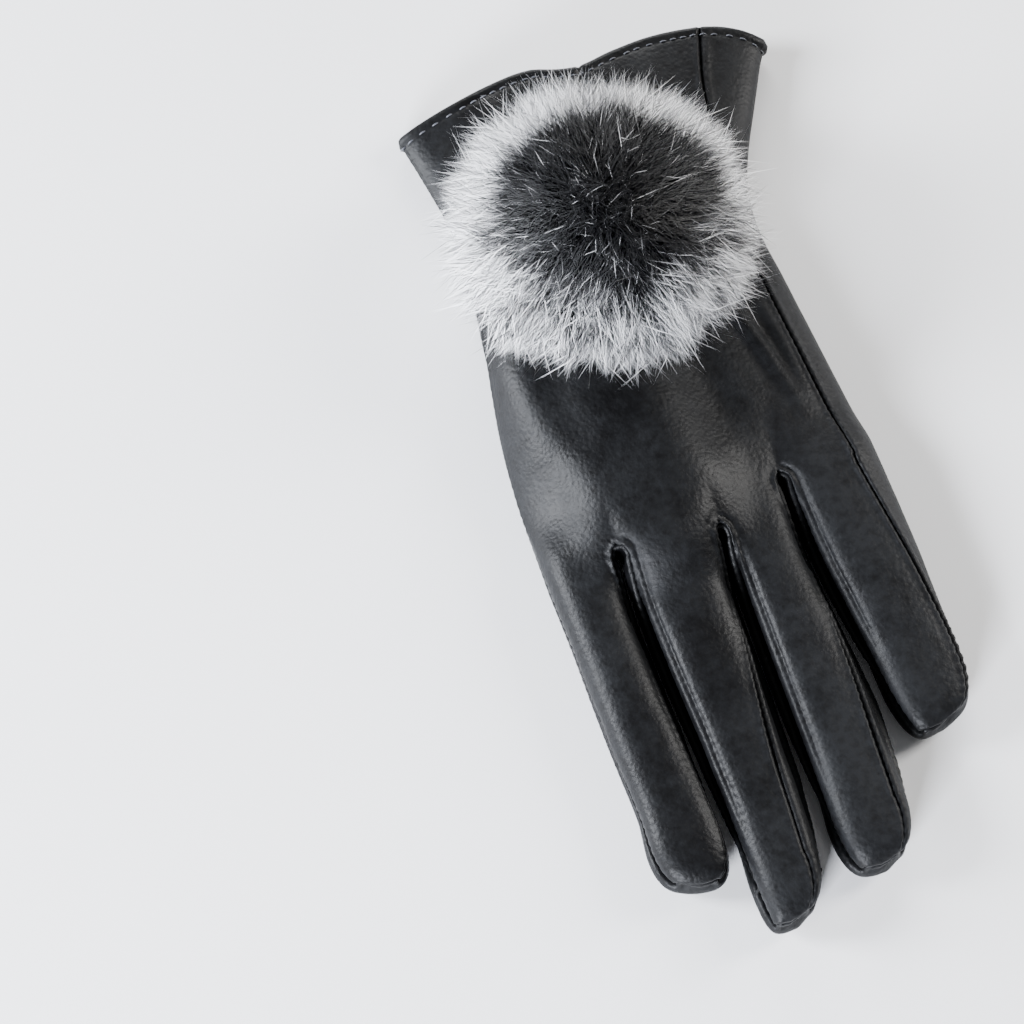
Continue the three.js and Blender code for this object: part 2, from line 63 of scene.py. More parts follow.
class Panel(Enum):
    """The cut pieces of leather, and what each CAD node is called."""

    BACK = "back_panel"
    PALM = "palm_panel"
    FOURCHETTE_1 = "fourchette_index_middle"
    FOURCHETTE_2 = "fourchette_middle_ring"
    FOURCHETTE_3 = "fourchette_ring_little"


def linear(hex_colour: str) -> tuple[float, float, float, float]:
    """Turns an sRGB hex colour to the linear RGBA that a shader socket takes.

    Args:
        hex_colour: six hex digits after a hash sign.

    Returns:
        Linear red, green and blue, and an alpha of 1.
    """
    values = [int(hex_colour[k : k + 2], 16) / 255 for k in (1, 3, 5)]
    flat = [v / 12.92 if v <= 0.04045 else ((v + 0.055) / 1.055) ** 2.4 for v in values]
    return (flat[0], flat[1], flat[2], 1.0)


def smoothstep(x: np.ndarray, low: float, high: float) -> np.ndarray:
    """Rises from 0 at low to 1 at high on a smooth curve.

    Args:
        x: where to read the curve.
        low: end of the part that is 0.
        high: start of the part that is 1.

    Returns:
        The curve's values.
    """
    t = np.clip((np.asarray(x, dtype=float) - low) / (high - low), 0, 1)
    return t * t * (3 - 2 * t)


def lerp(a: np.ndarray | float, b: np.ndarray | float, t: np.ndarray | float) -> np.ndarray:
    """Goes from a at t = 0 to b at t = 1."""
    return a + (b - a) * np.asarray(t)


def smooth_curve(places: list[float], values: list[float], at: np.ndarray) -> np.ndarray:
    """Reads a smooth curve through the rows of a table.

    Args:
        places: where the rows stand, rising or falling.
        values: the rows' values.
        at: where to read.

    Returns:
        The curve's values, held level beyond the first and last row.
    """
    order = np.argsort(places)
    xs = np.asarray(places, dtype=float)[order]
    vs = np.asarray(values, dtype=float)[order]
    last = len(xs) - 1
    at = np.clip(np.asarray(at, dtype=float), xs[0], xs[-1])
    i = np.clip(np.searchsorted(xs, at, side="right") - 1, 0, last - 1)
    k = np.arange(last + 1)
    after = np.minimum(k + 1, last)
    before = np.maximum(k - 1, 0)
    slopes = (vs[after] - vs[before]) / (xs[after] - xs[before])
    span = xs[i + 1] - xs[i]
    t = (at - xs[i]) / span
    return (
        (2 * t**3 - 3 * t**2 + 1) * vs[i]
        + (t**3 - 2 * t**2 + t) * span * slopes[i]
        + (3 * t**2 - 2 * t**3) * vs[i + 1]
        + (t**3 - t**2) * span * slopes[i + 1]
    )


def arch(p: np.ndarray, roundness: float) -> np.ndarray:
    """Height of a rounded arch: 0 at p = -1 and 1, 1 in the middle.

    Args:
        p: place across the arch.
        roundness: 2 gives an ellipse, more a boxier arch.

    Returns:
        The arch's height at each place.
    """
    inner = np.clip(1 - np.abs(p) ** roundness, 0, 1)
    return np.where(np.abs(p) > 1 - 1e-9, 0.0, inner ** (1 / roundness))


def hump(distance: np.ndarray, place: float, half_width: float) -> np.ndarray:
    """Height of a soft hump: 1 at its place, falling away on both sides."""
    return np.exp(-(((distance - place) / half_width) ** 2))


def quarter_round(distance: np.ndarray, reach: float) -> np.ndarray:
    """Height of a quarter circle: 0 at an edge, 1 from its reach on."""
    return np.sqrt(1 - (1 - np.clip(distance / reach, 0, 1)) ** 2)


def value_noise(points: np.ndarray, cell: float, seed: int) -> np.ndarray:
    """Smooth seeded noise on points in space.

    Args:
        points: places, one row each.
        cell: size of the noise's cells, in the points' unit.
        seed: which noise.

    Returns:
        One value from -1 to 1 for each point.
    """
    table = np.random.default_rng(seed).uniform(-1, 1, 4096)
    scaled = points / cell
    base = np.floor(scaled).astype(np.int64)
    local = scaled - base
    ease = local * local * (3 - 2 * local)
    total = np.zeros(len(points))
    for corner in range(8):
        offset = np.array([corner & 1, (corner >> 1) & 1, corner >> 2])
        cellwise = base + offset
        hashed = (cellwise[:, 0] * 73856093) ^ (cellwise[:, 1] * 19349663) ^ (cellwise[:, 2] * 83492791)
        weight = np.prod(np.where(offset == 1, ease, 1 - ease), axis=1)
        total += weight * table[hashed & 4095]
    return total


@dataclass(frozen=True)
class Finger:
    """One finger, in mm: where its tip rounds off and ends, its height, its roots and its edges."""

    round_from: float
    tip: float
    height: float
    left_root: float
    right_root: float
    left_edge: str
    right_edge: str
    right_inset: float  # how far the seam on its little-finger side climbs onto the back near the tip
    skew: float  # how much further its tip reaches on the index side
    lean: float  # how far its tip leans to the index side


@dataclass
class HandForm:
    """The glove's outer form as a smooth surface over each finger's column, in mm."""

    side_level: float = 4.6
    seam_top: float = 8.8
    seam_low: float = 3.2
    tip_rim: float = 7.6  # height of the seam round the fingertips
    rim_swell: float = 1.5  # how far the leather under that seam stands out
    rim_level_over: tuple[float, float] = (3, 34)  # from the tip, where that seam leaves the rim's height
    rim_swell_over: tuple[float, float] = (3, 26)  # and where the swell under it dies out
    strip_opens_over: tuple[float, float] = (7, 26)  # and where the strip between the two seams opens
    bulge_ends_over: tuple[float, float] = (9, 40)  # and where the fourchettes' bulge dies out
    bulge_starts_over: tuple[float, float] = (0.3, 4.5)  # the same, from the finger's root
    gap_opens_over: float = 3.0
    fingers_part_over: float = 30.0
    palm_joins_over: float = 60.0  # above the roots, how soon the fingers' columns share the palm evenly
    gap_air: float = 0.12  # left between two fourchettes that swell towards each other
    widest_bulge: float = 2.4
    tip_width: float = 0.3
    tip_turn: float = 1.3  # above 1 the fingertip starts to round off more slowly
    tip_fall: float = 0.55  # below 1 its height falls later than round
    tip_narrowing: float = 0.65  # and its width
    tip_bow: float = 0.9  # how much less the middle of the tip stands out than its sides
    finger_roundness: float = 3.2
    finger_flatness: float = 4.0  # of its underside
    back_roundness: float = 2.5
    palm_flatness: float = 6.0
    crown_over: float = 64.0  # along a finger, how soon it has its own height
    root_height: float = 15.4  # height of the fingers' backs at their roots
    knuckle_fade: float = 13.0
    lip_rise: float = 4.4  # how much higher the seam stands where two fingers part
    lip_rise_over: tuple[float, float] = (24, 12)  # down the finger and up the back, where that dies out
    thumb_height: float = 8.4
    thumb_air: float = 0.45
    thumb_side: float = 1.0  # how far beside the thumb what lies over it is still wholly lifted
    lift_reach: float = 17.0
    lift_on_back: float = 0.85  # the share of the lift that reaches the back
    crotch_x: tuple[float, ...] = (-31.8, -6.2, 13.0)
    fingers: tuple[Finger, ...] = (
        Finger(-90, -102.6, 13.4, -17.0, -20.6, "index_side", "index_in", 0.5, -1.0, 0.6),
        Finger(-102.6, -116.6, 14.2, -20.6, -22.0, "middle_left", "middle_right", 4.4, 0.9, 3.4),
        Finger(-96, -109.8, 14.0, -22.0, -11.6, "ring_left", "ring_right", 4.0, 0.8, 1.2),
        Finger(-68, -81.6, 13.0, -11.6, -9.0, "little_in", "little_side", 0.0, 1.6, 1.6),
    )
    hand_y: tuple[float, ...] = (118, 109, 96, 83, 70, 57, 40, 20, 0, -19, -35, -48, -62, -84)
    index_side: tuple[float, ...] = (
        -53.4, -51.5, -48.6, -46.0, -44.9, -45.4, -47.6, -49.9, -50.8, -49.9, -48.7, -47.8, -46.8, -45.2,
    )
    little_side: tuple[float, ...] = (
        55.6, 51.6, 45.6, 39.2, 34.4, 33.2, 35.0, 37.2, 39.0, 40.0, 40.5, 40.7, 40.8, 40.0,
    )
    lap_seam: tuple[float, ...] = (
        34.4, 31.6, 28.2, 26.4, 25.6, 25.4, 26.3, 28.3, 30.4, 33.0, 35.4, 37.4, 39.0, 39.6,
    )
    edge_y: tuple[float, ...] = (-12, -30, -50, -70, -90, -110)
    finger_edges: dict[str, tuple[float, ...]] = field(
        default_factory=lambda: {
            "index_in": (-33.5, -33.1, -32.0, -30.2, -28.2, -27.4),
            "middle_left": (-29.8, -29.2, -27.9, -26.2, -24.9, -24.2),
            "middle_right": (-8.0, -7.9, -7.8, -7.6, -7.3, -7.9),
            "ring_left": (-4.3, -4.1, -3.6, -3.0, -2.6, -2.4),
            "ring_right": (11.2, 12.2, 14.0, 15.9, 16.6, 15.8),
            "little_in": (14.9, 16.1, 18.5, 21.0, 23.0, 24.4),
        }
    )
    hem_across: tuple[float, ...] = (0, 0.17, 0.28, 0.37, 0.44, 0.5, 0.58, 0.69, 0.83, 0.92, 1.0)
    hem_y: tuple[float, ...] = (109.2, 113.8, 116.4, 117.4, 115.4, 115.0, 117.0, 118.5, 117.6, 114.6, 110.0)
    back_y: tuple[float, ...] = (118, 96, 62, 30, 0, -22)
    back_top: tuple[float, ...] = (11.6, 12.4, 13.6, 15.6, 16.4, 15.8)
    thumb_heel: tuple[float, float] = (-31.0, 48.0)
    thumb_tip: tuple[float, float] = (-17.0, -20.0)
    thumb_half_widths: tuple[float, float] = (13.0, 9.5)

    def thumb_lift(self, x: np.ndarray, y: np.ndarray) -> np.ndarray:
        """How much the folded thumb lifts what lies over it.

        Args:
            x: places across the hand.
            y: places along the hand.

        Returns:
            The lift in mm.
        """
        heel = np.array(self.thumb_heel)
        axis = np.array(self.thumb_tip) - heel
        length = float(np.hypot(*axis))
        share = ((x - heel[0]) * axis[0] + (y - heel[1]) * axis[1]) / length**2
        half_width = lerp(*self.thumb_half_widths, np.clip(share, 0, 1))
        inset = half_width / length
        along = np.minimum(np.maximum(share, inset), 1 - inset)
        distance = np.hypot(x - heel[0] - axis[0] * along, y - heel[1] - axis[1] * along)
        lifted = 1 - smoothstep(distance - half_width, self.thumb_side, self.lift_reach)
        return (self.thumb_height + self.thumb_air) * lifted

    def root_y(self, finger: int, p: np.ndarray) -> np.ndarray:
        """Where the finger's root lies at p across it."""
        return lerp(self.fingers[finger].left_root, self.fingers[finger].right_root, (p + 1) / 2)

    def outer(self, finger: int, side: int) -> bool:
        """True if this side of the finger is an outer side of the hand."""
        return (finger, side) in ((0, 0), (len(self.fingers) - 1, 1))

    def column_edge(self, finger: int, side: int, y: np.ndarray, sharp: bool = True) -> np.ndarray:
        """The edge of a finger's column along the hand.

        Args:
            finger: which finger, from the index finger's 0.
            side: 0 for the edge on the index side, 1 for the other.
            y: places along the hand.
            sharp: False for a line that leaves out how quickly the fingers part.

        Returns:
            The edge's x at each place.
        """
        name = self.fingers[finger].left_edge if side == 0 else self.fingers[finger].right_edge
        if self.outer(finger, side):
            return smooth_curve(self.hand_y, getattr(self, name), y)
        crotch = self.crotch_x[finger - 1 + side]
        crotch_y = self.fingers[finger].left_root if side == 0 else self.fingers[finger].right_root
        if sharp:
            opened = np.sqrt(1 - np.clip(1 - (crotch_y - y) / self.gap_opens_over, 0, 1) ** 2)
        else:
            opened = smoothstep(crotch_y - y, 0, self.fingers_part_over)
        parted = lerp(crotch, smooth_curve(self.edge_y, self.finger_edges[name], y), opened)
        evenly = lerp(
            smooth_curve(self.hand_y, self.index_side, y),
            smooth_curve(self.hand_y, self.little_side, y),
            (finger + side) / len(self.fingers),
        )
        joined = lerp(crotch, evenly, smoothstep(y - crotch_y, 0, self.palm_joins_over))
        return np.where(y <= crotch_y, parted, joined)

    def seam_levels(self, finger: int, side: int, rounded: np.ndarray, y: np.ndarray) -> tuple:
        """Heights of the seams above and below the fourchette on one side of a finger.

        Args:
            finger: which finger.
            side: which side of it.
            rounded: share of the rounded tip, below 0 before it.
            y: places along the hand.

        Returns:
            The upper and the lower seam's height.
        """
        to_tip = y - self.fingers[finger].tip
        standing = 1 - smoothstep(to_tip, *self.rim_level_over)
        if self.outer(finger, side):
            level = lerp(self.side_level, self.tip_rim, standing)
            return level, level
        middle = lerp(self.side_level + 0.6, self.tip_rim, standing)
        opened = np.clip((0.25 - rounded) / 1.05, 0, 1) * smoothstep(to_tip, *self.strip_opens_over)
        crotch_y = self.fingers[finger].left_root if side == 0 else self.fingers[finger].right_root
        below, above = self.lip_rise_over
        rise = self.lip_rise * (1 - smoothstep(crotch_y - y, 0, below))
        rise = rise * (1 - smoothstep(y - crotch_y, 0, above))
        return lerp(middle, self.seam_top, opened) + rise, lerp(middle, self.seam_low, opened)

    def surface(self, finger: int, p: np.ndarray, along: np.ndarray, share: float) -> np.ndarray:
        """Points of the glove's outer surface.

        Args:
            finger: which finger's column.
            p: from -1 to 1 across the column.
            along: 0 to 1 from hem to root, 1 to 2 along the straight finger, 2 to 3 round its tip.
            share: 0 on the back, 1 on the palm side; fourchettes lie between.

        Returns:
            One row of x, y and z for each point, in the shape of p with a last axis of 3.
        """
        f = self.fingers[finger]
        p, along = np.broadcast_arrays(np.asarray(p, dtype=float), np.asarray(along, dtype=float))
        root = self.root_y(finger, p)
        across = (finger + (p + 1) / 2) / len(self.fingers)
        in_palm = along <= 1
        in_finger = (along > 1) & (along <= 2)
        hem = smooth_curve(self.hem_across, self.hem_y, across)
        turn = np.clip(along - 2, 0, 1)
        angle = turn**self.tip_turn * math.pi / 2
        straight = np.clip(along - 1, 0, 1)
        bowed = self.tip_bow * p * p + f.skew * p
        rounded_y = lerp(f.round_from, f.tip, np.sin(angle)) + bowed * np.sin(angle)
        finger_y = np.where(in_finger, lerp(root, f.round_from, straight), rounded_y)
        y = np.where(in_palm, lerp(hem, root, np.clip(along, 0, 1)), finger_y)
        width = self.narrowing(along)
        height = np.where(along > 2, np.clip(np.cos(angle), 0, 1) ** self.tip_fall, 1)
        rounded = np.where(in_palm, -1.0, np.where(in_finger, straight ** (1 / 2.2) - 1, turn))
        left = self.column_edge(finger, 0, y, False)
        right = self.column_edge(finger, 1, y, False)
        left_gap = self.column_edge(finger, 0, y) - left
        right_gap = self.column_edge(finger, 1, y) - right
        parting = np.abs(p) ** 5 * np.where(p < 0, left_gap, right_gap)
        x = (left + right) / 2 + (right - left) / 2 * width * p + parting
        x -= f.lean * (1 - width) / (1 - self.tip_width)
        levels = [self.seam_levels(finger, side, rounded, y) for side in (0, 1)]
        seam_top = lerp(levels[0][0], levels[1][0], (p + 1) / 2)
        seam_low = lerp(levels[0][1], levels[1][1], (p + 1) / 2)
        crown = lerp(self.root_height, f.height, smoothstep(root - y, 0, self.crown_over))
        finger_top = seam_top + (crown - seam_top) * arch(p, self.finger_roundness) * height
        finger_low = seam_low * (1 - arch(p, self.finger_flatness) * height)
        edges = [smooth_curve(self.hand_y, side, y) for side in (self.index_side, self.little_side)]
        c = np.clip(2 * (x - edges[0]) / (edges[1] - edges[0]) - 1, -1, 1)
        ridge = 1 - smoothstep(y - root, 0, self.knuckle_fade)
        back = smooth_curve(self.back_y, self.back_top, y)
        palm_top = self.side_level + (back - self.side_level) * arch(c, self.back_roundness)
        palm_low = self.side_level * (1 - arch(c, self.palm_flatness))
        top = np.where(in_palm, lerp(palm_top, finger_top, ridge), finger_top)
        low = np.where(in_palm, lerp(palm_low, finger_low, ridge), finger_low)
        parted = np.where(in_palm, 0, smoothstep(root - y, *self.bulge_starts_over))
        parted = parted * smoothstep(y - f.tip, *self.bulge_ends_over)
        bulge = parted * max(math.sin(share * math.pi), 0.0) ** 0.6
        bulge *= np.where(p < 0, self.half_gap(finger, 0, y), self.half_gap(finger, 1, y))
        z = lerp(top, low, share)
        over_hand = smoothstep(z, self.side_level, 2 * self.side_level)
        raised = self.thumb_lift(x, y) * lerp(1, self.lift_on_back, over_hand)
        swell = self.rim_swell * (1 - smoothstep(y - f.tip, *self.rim_swell_over)) * max(2 * share - 1, 0)
        swell = swell * lerp(1, 0.45, smoothstep(p, 0.0, 0.8) * (f.right_inset > 1))
        swell = swell * np.sin(np.clip(z / np.maximum(seam_low, 0.1), 0, 1) * math.pi)
        aside = np.sign(p) * (bulge + swell * np.cos(angle))
        return np.stack([x + aside, y - swell * np.sin(angle), z + raised], axis=-1)

    def narrowing(self, along: np.ndarray) -> np.ndarray:
        """The finger's width as a share of its full width, which falls over the blunt tip."""
        angle = np.clip(along - 2, 0, 1) ** self.tip_turn * math.pi / 2
        return self.tip_width + (1 - self.tip_width) * np.clip(np.cos(angle), 0, 1) ** self.tip_narrowing

    def half_gap(self, finger: int, side: int, y: np.ndarray) -> np.ndarray:
        """How far a fourchette may swell into the gap beside a finger.

        Args:
            finger: which finger.
            side: which side of it.
            y: places along the hand.

        Returns:
            Half the gap, less a little air.
        """
        if self.outer(finger, side):
            return np.zeros_like(y)
        beside = finger - 1 + 2 * side
        gap = np.abs(self.column_edge(finger, side, y) - self.column_edge(beside, 1 - side, y))
        return np.clip(gap / 2 - self.gap_air, 0, self.widest_bulge)

    def right_seam(self, finger: int, along: np.ndarray) -> np.ndarray:
        """Where the back panel's seam on the little-finger side lies across a finger.

        Its other seam is the column's own edge.

        Args:
            finger: which finger.
            along: places along the column, as in surface().

        Returns:
            The seam as p.
        """
        f = self.fingers[finger]
        along = np.asarray(along, dtype=float)
        y = self.surface(finger, np.full_like(along, 0.7), along, 0)[..., 1]
        left = self.column_edge(finger, 0, y)
        right = self.column_edge(finger, 1, y)
        width = (right - left) / 2 * self.narrowing(along)
        right_inset = f.right_inset * smoothstep(-y, 36, 90) * (1 - 0.6 * np.clip(along - 2, 0, 1))
        seam = 1 - right_inset / width
        if finger == len(self.fingers) - 1:
            lap = 2 * (smooth_curve(self.hand_y, self.lap_seam, y) - left) / (right - left) - 1
            seam = np.minimum(lap, seam)
        return seam


@dataclass
class SkinMesh:
    """A welded triangle mesh whose faces belong to panels."""

    points: np.ndarray
    triangles: np.ndarray
    panels: np.ndarray

    def edges(self) -> tuple[np.ndarray, np.ndarray, np.ndarray]:
        """Every edge once, with the panels at its sides.

        Returns:
            The edges, each one's first panel, and each one's second panel or -1 where it has one face only.
        """
        t = self.triangles
        both = np.concatenate([t[:, [0, 1]], t[:, [1, 2]], t[:, [2, 0]]])
        owner = np.tile(self.panels, 3)
        both = np.sort(both, axis=1)
        key = both[:, 0].astype(np.int64) * len(self.points) + both[:, 1]
        order = np.argsort(key, kind="stable")
        key = key[order]
        owner = owner[order]
        both = both[order]
        first = np.flatnonzero(np.concatenate([[True], key[1:] != key[:-1]]))
        count = np.diff(np.concatenate([first, [len(key)]]))
        second = np.where(count > 1, owner[np.minimum(first + 1, len(key) - 1)], -1)
        return both[first], owner[first], second

    def normals(self) -> np.ndarray:
        """Works out unit normals at the vertices, weighted by face area.

        Returns:
            One unit vector for each vertex.
        """
        a, b, c = (self.points[self.triangles[:, k]] for k in range(3))
        face = np.cross(b - a, c - a)
        total = np.zeros_like(self.points)
        for k in range(3):
            for axis in range(3):
                total[:, axis] += np.bincount(self.triangles[:, k], face[:, axis], len(self.points))
        return total / np.maximum(np.linalg.norm(total, axis=1, keepdims=True), 1e-12)


def evened(directions: np.ndarray, edges: np.ndarray) -> np.ndarray:
    """Turns each vertex's direction halfway to its neighbours', so that slivers don't throw spikes.

    Args:
        directions: unit vectors at the vertices.
        edges: the mesh's edges.

    Returns:
        Unit vectors.
    """
    total = np.zeros_like(directions)
    for start, end in ((0, 1), (1, 0)):
        for axis in range(3):
            total[:, axis] += np.bincount(edges[:, start], directions[edges[:, end], axis], len(directions))
    total /= np.maximum(np.linalg.norm(total, axis=1, keepdims=True), 1e-12)
    total += directions
    return total / np.maximum(np.linalg.norm(total, axis=1, keepdims=True), 1e-12)


def weld(patches: list[tuple[np.ndarray, int, bool]], grain: float = 0.002) -> SkinMesh:
    """Joins grids of points into one mesh: points at one place become one vertex.

    Args:
        patches: each a grid of points, the panel of its quads, and whether its faces turn the other way.
        grain: how close points count as one, in mm.

    Returns:
        The welded mesh, without the triangles that shrank to nothing.
    """
    clouds: list[np.ndarray] = []
    corners: list[np.ndarray] = []
    owners: list[np.ndarray] = []
    start = 0
    for grid, panel, turned in patches:
        rows, columns = grid.shape[:2]
        ids = np.arange(rows * columns).reshape(rows, columns) + start
        a, b = ids[:-1, :-1].ravel(), ids[1:, :-1].ravel()
        c, d = ids[1:, 1:].ravel(), ids[:-1, 1:].ravel()
        quads = np.concatenate([np.stack([a, b, c], 1), np.stack([a, c, d], 1)])
        corners.append(quads[:, ::-1] if turned else quads)
        owners.append(np.full(len(quads), panel))
        clouds.append(grid.reshape(-1, 3))
        start += rows * columns
    cloud = np.concatenate(clouds)
    keys = np.round(cloud / grain).astype(np.int64)
    _, index, inverse = np.unique(keys, axis=0, return_index=True, return_inverse=True)
    triangles = inverse.reshape(-1)[np.concatenate(corners)]
    panels = np.concatenate(owners)
    good = (
        (triangles[:, 0] != triangles[:, 1])
        & (triangles[:, 1] != triangles[:, 2])
        & (triangles[:, 2] != triangles[:, 0])
    )
    return SkinMesh(cloud[index], triangles[good], panels[good])


def graph_distance(points: np.ndarray, edges: np.ndarray, sources: np.ndarray, rounds: int) -> tuple:
    """Distance along the mesh from each vertex to the nearest source.

    Args:
        points: the mesh's vertices.
        edges: its edges.
        sources: the vertices that distances start from.
        rounds: how many edges a path may have.

    Returns:
        The distances, and the source that each vertex is nearest to.
    """
    distance = np.full(len(points), 1e3)
    source = np.zeros(len(points), dtype=np.int64)
    distance[sources] = 0
    source[sources] = sources
    length = np.linalg.norm(points[edges[:, 0]] - points[edges[:, 1]], axis=1)
    ends = np.concatenate([edges, edges[:, ::-1]])
    length = np.concatenate([length, length])
    for _ in range(rounds):
        near = distance[ends[:, 0]] + length
        better = near < distance[ends[:, 1]] - 1e-9
        if not better.any():
            break
        starts, stops, near = ends[better, 0], ends[better, 1], near[better]
        order = np.argsort(-near, kind="stable")
        distance[stops[order]] = near[order]
        source[stops[order]] = source[starts[order]]
    return distance, source


def chain_lengths(points: np.ndarray, edges: np.ndarray) -> np.ndarray:
    """How far along its seam each seam vertex lies.

    Args:
        points: the mesh's vertices.
        edges: the seams' edges.

    Returns:
        One length for each vertex of the mesh, 0 off the seams.
    """
    neighbours: dict[int, list[int]] = {}
    for a, b in edges.tolist():
        neighbours.setdefault(a, []).append(b)
        neighbours.setdefault(b, []).append(a)
    lengths = np.zeros(len(points))
    seen: set[int] = set()
    starts = [k for k, near in neighbours.items() if len(near) != 2] + list(neighbours)
    for start in starts:
        if start in seen:
            continue
        stack = [start]
        seen.add(start)
        while stack:
            here = stack.pop()
            for there in neighbours[here]:
                if there not in seen:
                    seen.add(there)
                    lengths[there] = lengths[here] + float(np.linalg.norm(points[there] - points[here]))
                    stack.append(there)
    return lengths


@dataclass(frozen=True)
class Distances:
    """For each vertex of the skin, how far it is from the seams and the hem, in mm."""

    seam: np.ndarray
    along_seam: np.ndarray  # how far along that seam its nearest point lies
    hem: np.ndarray


@dataclass(frozen=True)
class Fold:
    """A soft fold pressed into or out of the back, along a line of points in mm."""

    line: tuple[tuple[float, float], ...]
    height: float
    half_width: float

    def relief(self, x: np.ndarray, y: np.ndarray) -> np.ndarray:
        """How far the fold moves the surface at each place.

        Args:
            x: places across the hand.
            y: places along the hand.

        Returns:
            The movement along the surface's normal, in mm.
        """
        best = np.full(x.shape, 1e9)
        along = np.zeros(x.shape)
        steps = len(self.line) - 1
        for k in range(steps):
            ax, ay = self.line[k]
            bx, by = self.line[k + 1]
            square = (bx - ax) ** 2 + (by - ay) ** 2
            t = np.clip(((x - ax) * (bx - ax) + (y - ay) * (by - ay)) / square, 0, 1)
            gap = (x - ax - (bx - ax) * t) ** 2 + (y - ay - (by - ay) * t) ** 2
            closer = gap < best
            best = np.where(closer, gap, best)
            along = np.where(closer, (k + t) / steps, along)
        taper = np.sin(np.clip(along, 0, 1) * math.pi) ** 0.7
        return self.height * taper * np.exp(-best / self.half_width**2)


FOLDS = (
    Fold(((14.6, 39.0), (16.0, 33.0), (20.0, 21.3), (23.1, 7.6), (24.5, -1.0)), 1.0, 1.7),
    Fold(((11.4, 38.0), (16.4, 21.0), (19.6, 6.0)), -0.6, 2.3),
    Fold(((19.6, 37.0), (22.6, 22.0), (25.0, 8.0)), -0.7, 1.6),
    Fold(((23.4, 38.0), (25.6, 24.0), (26.4, 10.0), (27.6, 0.0)), 0.7, 1.4),
    Fold(((4.6, 36.0), (9.0, 20.0), (11.5, 4.0)), 0.45, 3.6),
    Fold(((13.0, -5.0), (14.5, 3.0), (17.5, 10.0)), -0.2, 2.4),
    Fold(((-40.0, 44.0), (-42.5, 26.0), (-42.0, 4.0)), 0.7, 4.5),
    Fold(((-33.0, 40.0), (-35.0, 22.0), (-33.0, 2.0)), -0.8, 5.0),
    Fold(((-18.0, 26.0), (-14.0, 6.0), (-12.0, -10.0)), 0.7, 7.0),
    Fold(((-4.0, 28.0), (2.0, 12.0), (5.0, -2.0)), -0.5, 5.0),
    Fold(((22.0, 88.0), (30.0, 100.0), (37.0, 113.0)), -0.7, 3.4),
    Fold(((-30.0, 90.0), (-37.0, 101.0), (-43.0, 110.0)), -0.7, 3.6),
    Fold(((-22.0, 94.0), (-26.0, 106.0), (-28.0, 115.0)), 0.5, 3.2),
    Fold(((12.0, 96.0), (16.0, 106.0), (18.0, 116.0)), 0.5, 3.6),
)


